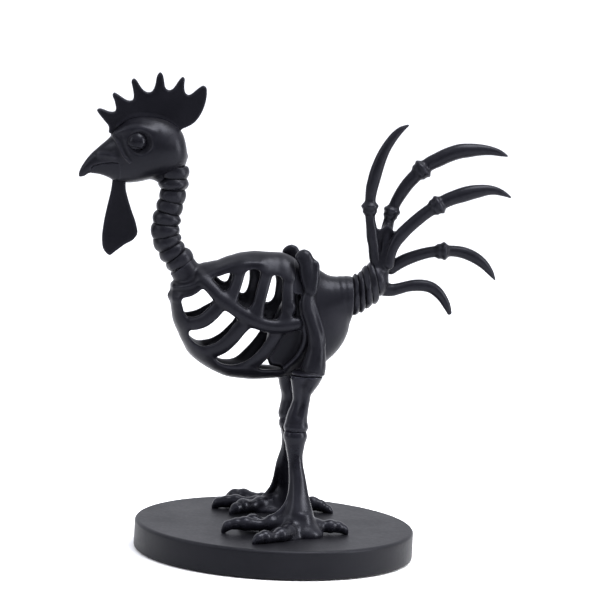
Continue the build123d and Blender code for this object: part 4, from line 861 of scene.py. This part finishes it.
# ------------------------------------------------------------------ tail quills and hub
QUILLS = {
    "tail_quill_1": ([(54.8, 183.4, 3.5), (53.2, 190.0, 3.3), (52.5, 195.0, 3.2), (51.3, 200.1, 3.3), (50.6, 205.2, 3.1), (49.6, 210.2, 2.75),
                      (49.0, 215.4, 2.8), (48.8, 220.6, 2.9), (48.9, 225.7, 3.1), (49.4, 230.9, 3.45), (50.4, 235.9, 3.6), (51.5, 240.9, 3.6),
                      (52.9, 245.8, 3.4), (54.5, 250.5, 3.15), (56.5, 255.1, 2.85), (59.0, 259.5, 2.6), (61.9, 263.7, 2.3), (65.4, 267.4, 1.7),
                      (69.7, 270.3, 0.6)],
                     -1.8, [(48.8, 217.9, 4.7)]),
    "tail_quill_2": ([(58.8, 185.2, 3.3), (59.8, 193.0, 3.4), (60.5, 200.0, 3.5), (61.2, 205.2, 3.4), (62.0, 210.1, 3.1), (63.6, 214.8, 3.1),
                      (64.9, 219.7, 3.1), (67.0, 224.3, 3.35), (69.4, 228.6, 3.6), (72.1, 232.8, 3.7), (75.2, 236.6, 3.8), (80.3, 242.0, 3.9),
                      (86.0, 246.7, 4.1), (90.6, 249.1, 4.3), (94.7, 251.3, 4.35), (99.3, 253.3, 4.35), (104.0, 254.8, 4.3), (109.0, 255.5, 4.05),
                      (113.9, 256.0, 3.55), (118.9, 256.1, 3.0), (123.8, 255.7, 2.4), (128.8, 254.6, 1.7), (133.4, 253.0, 0.6)],
                     4.4, [(63.1, 214.8, 4.6), (80.3, 242.0, 5.9)]),
    "tail_quill_3": ([(62.0, 184.2, 3.1), (63.8, 193.2, 3.0), (66.0, 198.3, 3.3), (69.0, 202.8, 3.7), (72.4, 206.6, 3.6), (76.0, 210.2, 3.6),
                      (79.7, 213.6, 3.6), (83.5, 216.8, 3.6), (90.0, 221.4, 3.8), (96.3, 225.2, 4.0), (101.2, 227.3, 4.15), (106.1, 229.0, 4.4),
                      (110.9, 230.5, 4.2), (116.0, 231.6, 3.7), (121.1, 232.4, 2.95), (126.1, 232.1, 2.25), (130.9, 230.7, 1.5), (135.5, 228.5, 0.6)],
                     -4.4, [(90.0, 221.4, 5.5)]),
    "tail_quill_4": ([(64.6, 180.6, 3.6), (68.6, 183.5, 3.6), (73.1, 186.1, 3.6), (77.9, 188.2, 3.45), (82.9, 190.0, 3.3), (87.9, 191.4, 3.2),
                      (95.7, 192.4, 3.2), (103.7, 192.7, 3.2), (109.0, 192.0, 3.35), (114.1, 190.3, 3.35), (119.0, 187.7, 3.1), (123.3, 184.3, 2.55),
                      (126.9, 180.2, 1.7), (129.8, 176.1, 0.6)],
                     2.2, [(95.7, 192.4, 5.0)]),
    "tail_quill_5": ([(61.0, 168.0, 4.2), (65.2, 167.5, 3.6), (69.7, 168.5, 3.3), (74.7, 170.0, 3.15), (79.7, 170.9, 3.35), (84.8, 171.0, 3.4),
                      (89.8, 169.9, 3.3), (94.1, 167.1, 3.1), (97.6, 163.2, 2.6), (100.3, 158.8, 2.1), (102.2, 154.6, 1.2)],
                     -0.8, []),
}


def quill(name, stations, y, knuckles):
    pts = [(x, y, z, r + (0.34 if r > 1 else 0.1)) for x, z, r in stations]
    a = np.array(pts)
    f = Field(a[:, :3].min(0) - 9, a[:, :3].max(0) + 9, 0.42)
    f.tube(pts, per=6, flat=(1, 0.86, 1))
    line = curve([(x, z, r) for x, z, r in stations], 8)
    for kx, kz, kr in knuckles:
        # a soft swelling of the bone with one ring-shaped knob round it
        i = int(np.argmin((line[:, 0] - kx)**2 + (line[:, 1] - kz)**2))
        d = line[min(i + 3, len(line) - 1), :2] - line[max(i - 3, 0), :2]
        d /= np.linalg.norm(d)
        turn = [(d[0], 0, d[1]), (0, 1, 0), (-d[1], 0, d[0])]
        for along, half, r, k in ((0.2, 5.2, kr - 0.5, 1.6), (1.5, 2.5, kr + 0.75, 1.4), (-1.9, 1.8, kr - 0.4, 1.4)):
            f.ball((kx + d[0] * along, y, kz + d[1] * along), (half, r * 0.9, r), k, turn=turn)
    done(skin(f, name + "_bone"), PAINT, "black_casting", name)


for name, (stations, y, knuckles) in QUILLS.items():
    quill(name, stations, y, knuckles)


def tail_hub():
    f = Field((44, -14, 158), (82, 14, 217), 0.45)
    (tx, tz), (bx, bz) = TAIL_FACES[-1]
    hx, hz = (tx + bx) / 2, (tz + bz) / 2
    d = np.array([tz - bz, bx - tx])
    d /= np.linalg.norm(d)
    f.ball((hx, 0, hz), (8.1, 9.8, 10.5), turn=[(d[0], 0, d[1]), (0, 1, 0), (-d[1], 0, d[0])])
    f.tube([(56.4, 0, 176.0, 5.2), (58.4, 0, 181.0, 5.3), (59.8, 0, 187.0, 4.4)], k=2.0)
    for name, (stations, y, knuckles) in QUILLS.items():
        n = 4 if name in ("tail_quill_1", "tail_quill_2", "tail_quill_3") else 2
        f.tube([(x, y, z, r + 0.1 - 0.12 * i) for i, (x, z, r) in enumerate(stations[:n])], k=2.4 if n == 4 else 0.9, flat=(1, 0.86, 1))
    # webs between the upper quills: one leaf-shaped fan
    fan = curve([(52.2, 184.0), (51.6, 194.0), (51.0, 204.5), (53.2, 206.0), (55.6, 205.2), (58.0, 206.0), (60.6, 208.0), (62.8, 206.2),
                 (64.8, 204.2), (67.0, 204.4), (68.4, 202.4), (65.6, 193.0), (64.4, 184.0)], 4)
    x, z = f.ax[0][:, None].astype(float), f.ax[2][None, :].astype(float)
    flat = np.abs(f.ax[1][None, :, None] + F32(0.2)) - F32(1.7)
    f.d = smin(f.d, smax(outline_distance(fan, x, z)[:, None, :], flat, 1.6).astype(F32), 1.6)
    f.tube([(58.8, -1.8, 184.5, 3.0), (59.8, -1.5, 193.0, 3.1), (60.5, 0.0, 200.0, 3.2), (61.3, 2.6, 206.4, 3.0), (62.2, 4.2, 210.5, 2.6)], k=1.4)
    f.plane((hx, 0, hz), (-d[0], 0, -d[1]), 1.2)
    done(skin(f, "tail_fan_hub"), PAINT, "black_casting", "tail_hub")


tail_hub()

# ------------------------------------------------------------------ head
SKULL = np.array([(-65.9, 248.8, 242.4, 2.6), (-66.4, 251.6, 240.6, 4.8), (-69.2, 260.0, 237.5, 9.8), (-75.0, 265.8, 234.4, 13.4),
                  (-84.0, 269.2, 232.2, 15.4), (-90.0, 269.9, 230.3, 15.2), (-94.0, 269.9, 229.2, 14.8), (-102.0, 268.4, 228.2, 12.4),
                  (-108.5, 263.2, 228.5, 9.2), (-114.0, 255.5, 231.1, 6.8), (-120.0, 249.8, 232.8, 5.0), (-125.0, 244.8, 233.1, 3.5),
                  (-128.5, 240.0, 231.1, 2.3), (-131.0, 235.2, 230.6, 1.0), (-131.6, 233.2, 231.2, 0.4)])[::-1]
s_top, s_low, s_half = (monotone(SKULL[:, 0], SKULL[:, i]) for i in (1, 2, 3))
JAW_REGION = [(-124.0, 222.0), (-124.3, 236.4), (-122.8, 238.3), (-118.0, 239.9), (-112.5, 240.9), (-107.6, 241.0), (-103.0, 237.0), (-98.0, 231.5),
              (-94.5, 222.0)]
MOUTH = [(-124.0, 222.0), (-124.3, 236.4), (-122.8, 238.3), (-118.0, 239.9), (-112.5, 240.9), (-108.6, 240.9), (-107.4, 238.0), (-107.0, 222.0)]
EYE_AT = (-97.6, 8.2, 254.6)
SOCKET = (-97.2, 19.0, 255.5)


def head_field(lo, hi, h):
    f = Field(lo, hi, h)
    x, y, z = f.all()
    t, l, w = (g(x.astype(float)) for g in (s_top, s_low, s_half))
    hh = (t - l) / 2
    zz = z - (t + l) / 2
    k0 = np.sqrt((y / w)**2 + (zz / hh)**2) + 1e-6
    k1 = np.sqrt((y / w**2)**2 + (zz / hh**2)**2) + 1e-6
    beyond = np.maximum(np.maximum(SKULL[0, 0] - x, x - SKULL[-1, 0]), 0)
    f.d = (k0 * (k0 - 1) / k1 + 3.0 * beyond).astype(F32)
    f.even()
    return f


def mouth_line(f):
    """Fine groove where the lower beak meets the upper one, on both cheeks."""
    for s in (-1, 1):
        f.tube([(x, s * float(s_half(x)) * math.sqrt(max(1 - ((z - m) / h)**2, 0.02)), z, 0.36)
                for x, z, m, h in [(x, z, float(s_top(x) + s_low(x)) / 2, float(s_top(x) - s_low(x)) / 2)
                                   for x, z in [(-124.2, 236.5), (-122.8, 238.3), (-118.0, 239.9), (-112.5, 240.9), (-108.4, 240.9)]]],
               k=0.5, cut=True)


def skull():
    f = head_field((-133, -20, 226), (-63, 20, 274), 0.42)
    for s in (-1, 1):
        # brow, eye socket, ridge behind the beak, nostril
        f.tube([(-110.0, s * 4.8, 258.8, 0.8), (-104.0, s * 8.1, 261.8, 1.1), (-97.0, s * 9.6, 263.0, 1.0), (-90.0, s * 11.0, 261.2, 0.4)], k=5.6)
        f.ball((SOCKET[0], s * SOCKET[1], SOCKET[2]), (10.2, 8.9, 10.0), 1.1, cut=True)
        f.tube([(-112.2, s * 2.2, 257.6, 0.7), (-110.6, s * 6.2, 255.8, 0.8), (-108.4, s * 8.3, 252.3, 0.9), (-105.4, s * 10.8, 246.2, 0.9), (-101.6, s * 12.2, 242.4, 0.8)], k=1.0)
        f.tube([(-108.2, s * 9.8, 258.0, 1.0), (-106.2, s * 11.2, 252.0, 1.1), (-103.4, s * 12.8, 246.4, 0.9)], k=1.4, cut=True)
        f.tube([(-115.6, s * 6.6, 248.4, 0.8), (-113.4, s * 7.4, 247.8, 1.0), (-112.4, s * 7.8, 248.2, 0.7)], k=0.7, cut=True)
        f.tube([(-119.6, s * 4.8, 245.4, 0.8), (-115.6, s * 6.2, 245.6, 1.2), (-111.0, s * 8.0, 245.0, 0.8)], k=3.2)
    # throat running down into the neck
    f.tube([(-86.0, 0, 237.0, 5.0), (-80.6, 0, 233.4, 5.0), (-78.6, 0, 230.6, 3.6)], k=3.0)
    x, z = f.ax[0][:, None].astype(float), f.ax[2][None, :].astype(float)
    jaw = outline_distance(MOUTH, x, z)[:, None, :]
    f.d = smax(f.d, -jaw, 0.3)
    mouth_line(f)
    done(skin(f, "skull_and_beak"), PAINT, "black_casting", "skull")


def lower_jaw():
    f = head_field((-127, -16, 222), (-92, 16, 244), 0.35)
    x, z = f.ax[0][:, None].astype(float), f.ax[2][None, :].astype(float)
    jaw = outline_distance(JAW_REGION, x, z)[:, None, :]
    f.d = smax(f.d + F32(0.05), jaw, 0.3)
    mouth_line(f)
    done(skin(f, "lower_beak"), PAINT, "black_casting", "lower_jaw")


skull()
lower_jaw()


def eye(side, s):
    ex, ey, ez = EYE_AT[0], s * EYE_AT[1], EYE_AT[2]
    f = Field((ex - 9, ey - 9, ez - 9), (ex + 9, ey + 9, ez + 9), 0.25)
    f.ball((ex, ey, ez), 6.3)
    x, y, z = f.all()
    # closed lids: the upper one stands proud of the lower one along a sloping slit
    slit = (z - (ez - 3.0)) + 0.22 * (x - ex) + 0.03 * (x - ex)**2
    r = np.sqrt((x - ex)**2 + (y - ey)**2 + (z - ez)**2)
    f.d = smin(f.d, smax(r - F32(6.75), -slit + 0 * r, 0.5).astype(F32), 0.15)
    f.d = smax(f.d, -((np.sqrt(slit**2 + (r - 6.6)**2)) - 0.4).astype(F32), 0.25)
    done(skin(f, side + "_lidded_eye"), EYE_PAINT_SHADED, "black_casting", side + "_eye")


eye("left", -1)
eye("right", 1)

COMB = [(-114.2, 258.9), (-114.3, 262.2), (-117.2, 265.9), (-119.9, 269.0), (-121.5, 271.0), (-122.0, 271.8), (-121.3, 272.7), (-118.1, 272.4),
        (-115.6, 271.5), (-113.2, 271.1), (-111.0, 271.6), (-110.4, 272.8), (-110.7, 275.3), (-111.8, 278.9), (-112.8, 281.1), (-112.8, 282.3),
        (-112.1, 283.0), (-110.8, 282.5), (-107.7, 280.6), (-104.2, 278.7), (-102.2, 278.4), (-100.5, 279.0), (-99.9, 280.6), (-100.1, 283.3),
        (-101.1, 287.7), (-101.7, 290.1), (-101.4, 291.5), (-100.5, 292.2), (-99.4, 291.5), (-97.3, 288.6), (-94.7, 285.5), (-92.2, 284.1),
        (-90.7, 284.0), (-88.8, 284.9), (-87.7, 286.8), (-86.9, 289.8), (-86.4, 293.7), (-85.6, 295.7), (-84.6, 296.6), (-83.4, 295.5),
        (-82.7, 293.4), (-82.1, 290.4), (-81.3, 287.5), (-80.0, 286.2), (-78.3, 285.8), (-76.6, 286.5), (-75.2, 288.0), (-73.4, 291.0),
        (-71.8, 293.3), (-70.6, 294.3), (-69.8, 293.6), (-69.8, 290.9), (-69.7, 287.5), (-68.9, 284.8), (-67.6, 283.6), (-66.1, 283.4),
        (-64.2, 284.4), (-61.8, 286.6), (-59.5, 288.5), (-57.8, 289.4), (-56.3, 288.6), (-55.8, 286.1), (-55.9, 282.1), (-56.9, 277.2),
        (-58.7, 272.6), (-61.0, 268.9), (-63.8, 266.0), (-67.6, 263.9), (-70.2, 262.5), (-71.0, 261.0)]
COMB_ROOT = [(-75.5, 259.5), (-84.5, 263.5), (-95.0, 264.2), (-105.0, 260.5), (-110.5, 257.0)]
COMB_BASE = [(-109.2, 264.0), (-105.9, 266.6), (-102.4, 268.6), (-98.1, 269.8), (-92.1, 269.8), (-86.2, 269.2), (-79.9, 267.6), (-73.6, 264.0)]


def plate(f, poly, half, round_r, taper=None, grow=0.0):
    x, z = f.ax[0][:, None].astype(float), f.ax[2][None, :].astype(float)
    d2 = outline_distance(poly, x, z)[:, None, :]
    y = f.ax[1][None, :, None]
    th = half if taper is None else taper(x, z)[:, None, :]
    q1, q2 = d2 + round_r, np.abs(y) - th + round_r
    f.d = (np.sqrt(np.maximum(q1, 0)**2 + np.maximum(q2, 0)**2) + np.minimum(np.maximum(q1, q2), 0) - round_r - grow).astype(F32)


def comb():
    f = Field((-125, -5, 254), (-52, 5, 300), 0.36)
    plate(f, np.vstack([curve(COMB, 3), COMB_ROOT]), 2.4, 1.0, lambda x, z: np.clip(2.6 - (z - 270) * 0.05, 1.3, 2.6) + 0 * x, grow=0.3)
    f.tube([(x, 0, z, 1.5) for x, z in COMB_BASE], k=2.0, flat=(1, 1.9, 1))
    done(skin(f, "head_comb"), PLATE_PAINT_SHADED, "black_casting", "comb")


comb()

WATTLE = [(-110.9, 229.4), (-111.2, 225.0), (-112.0, 219.8), (-113.4, 212.8), (-115.2, 200.9), (-115.6, 193.0), (-114.1, 186.0), (-110.4, 183.0),
          (-107.4, 185.2), (-101.4, 190.0), (-96.0, 193.5), (-94.0, 196.9), (-94.9, 202.5), (-98.4, 211.8), (-100.9, 219.0), (-102.4, 224.5),
          (-102.6, 229.4)]


def wattle():
    f = Field((-119, -5, 179), (-90, 5, 234), 0.36)
    plate(f, curve(WATTLE, 5).tolist() + [(-103.0, 232.0), (-110.6, 232.0)], 2.4, 1.5)
    done(skin(f, "throat_wattle"), PLATE_PAINT_SHADED, "black_casting", "wattle")


wattle()
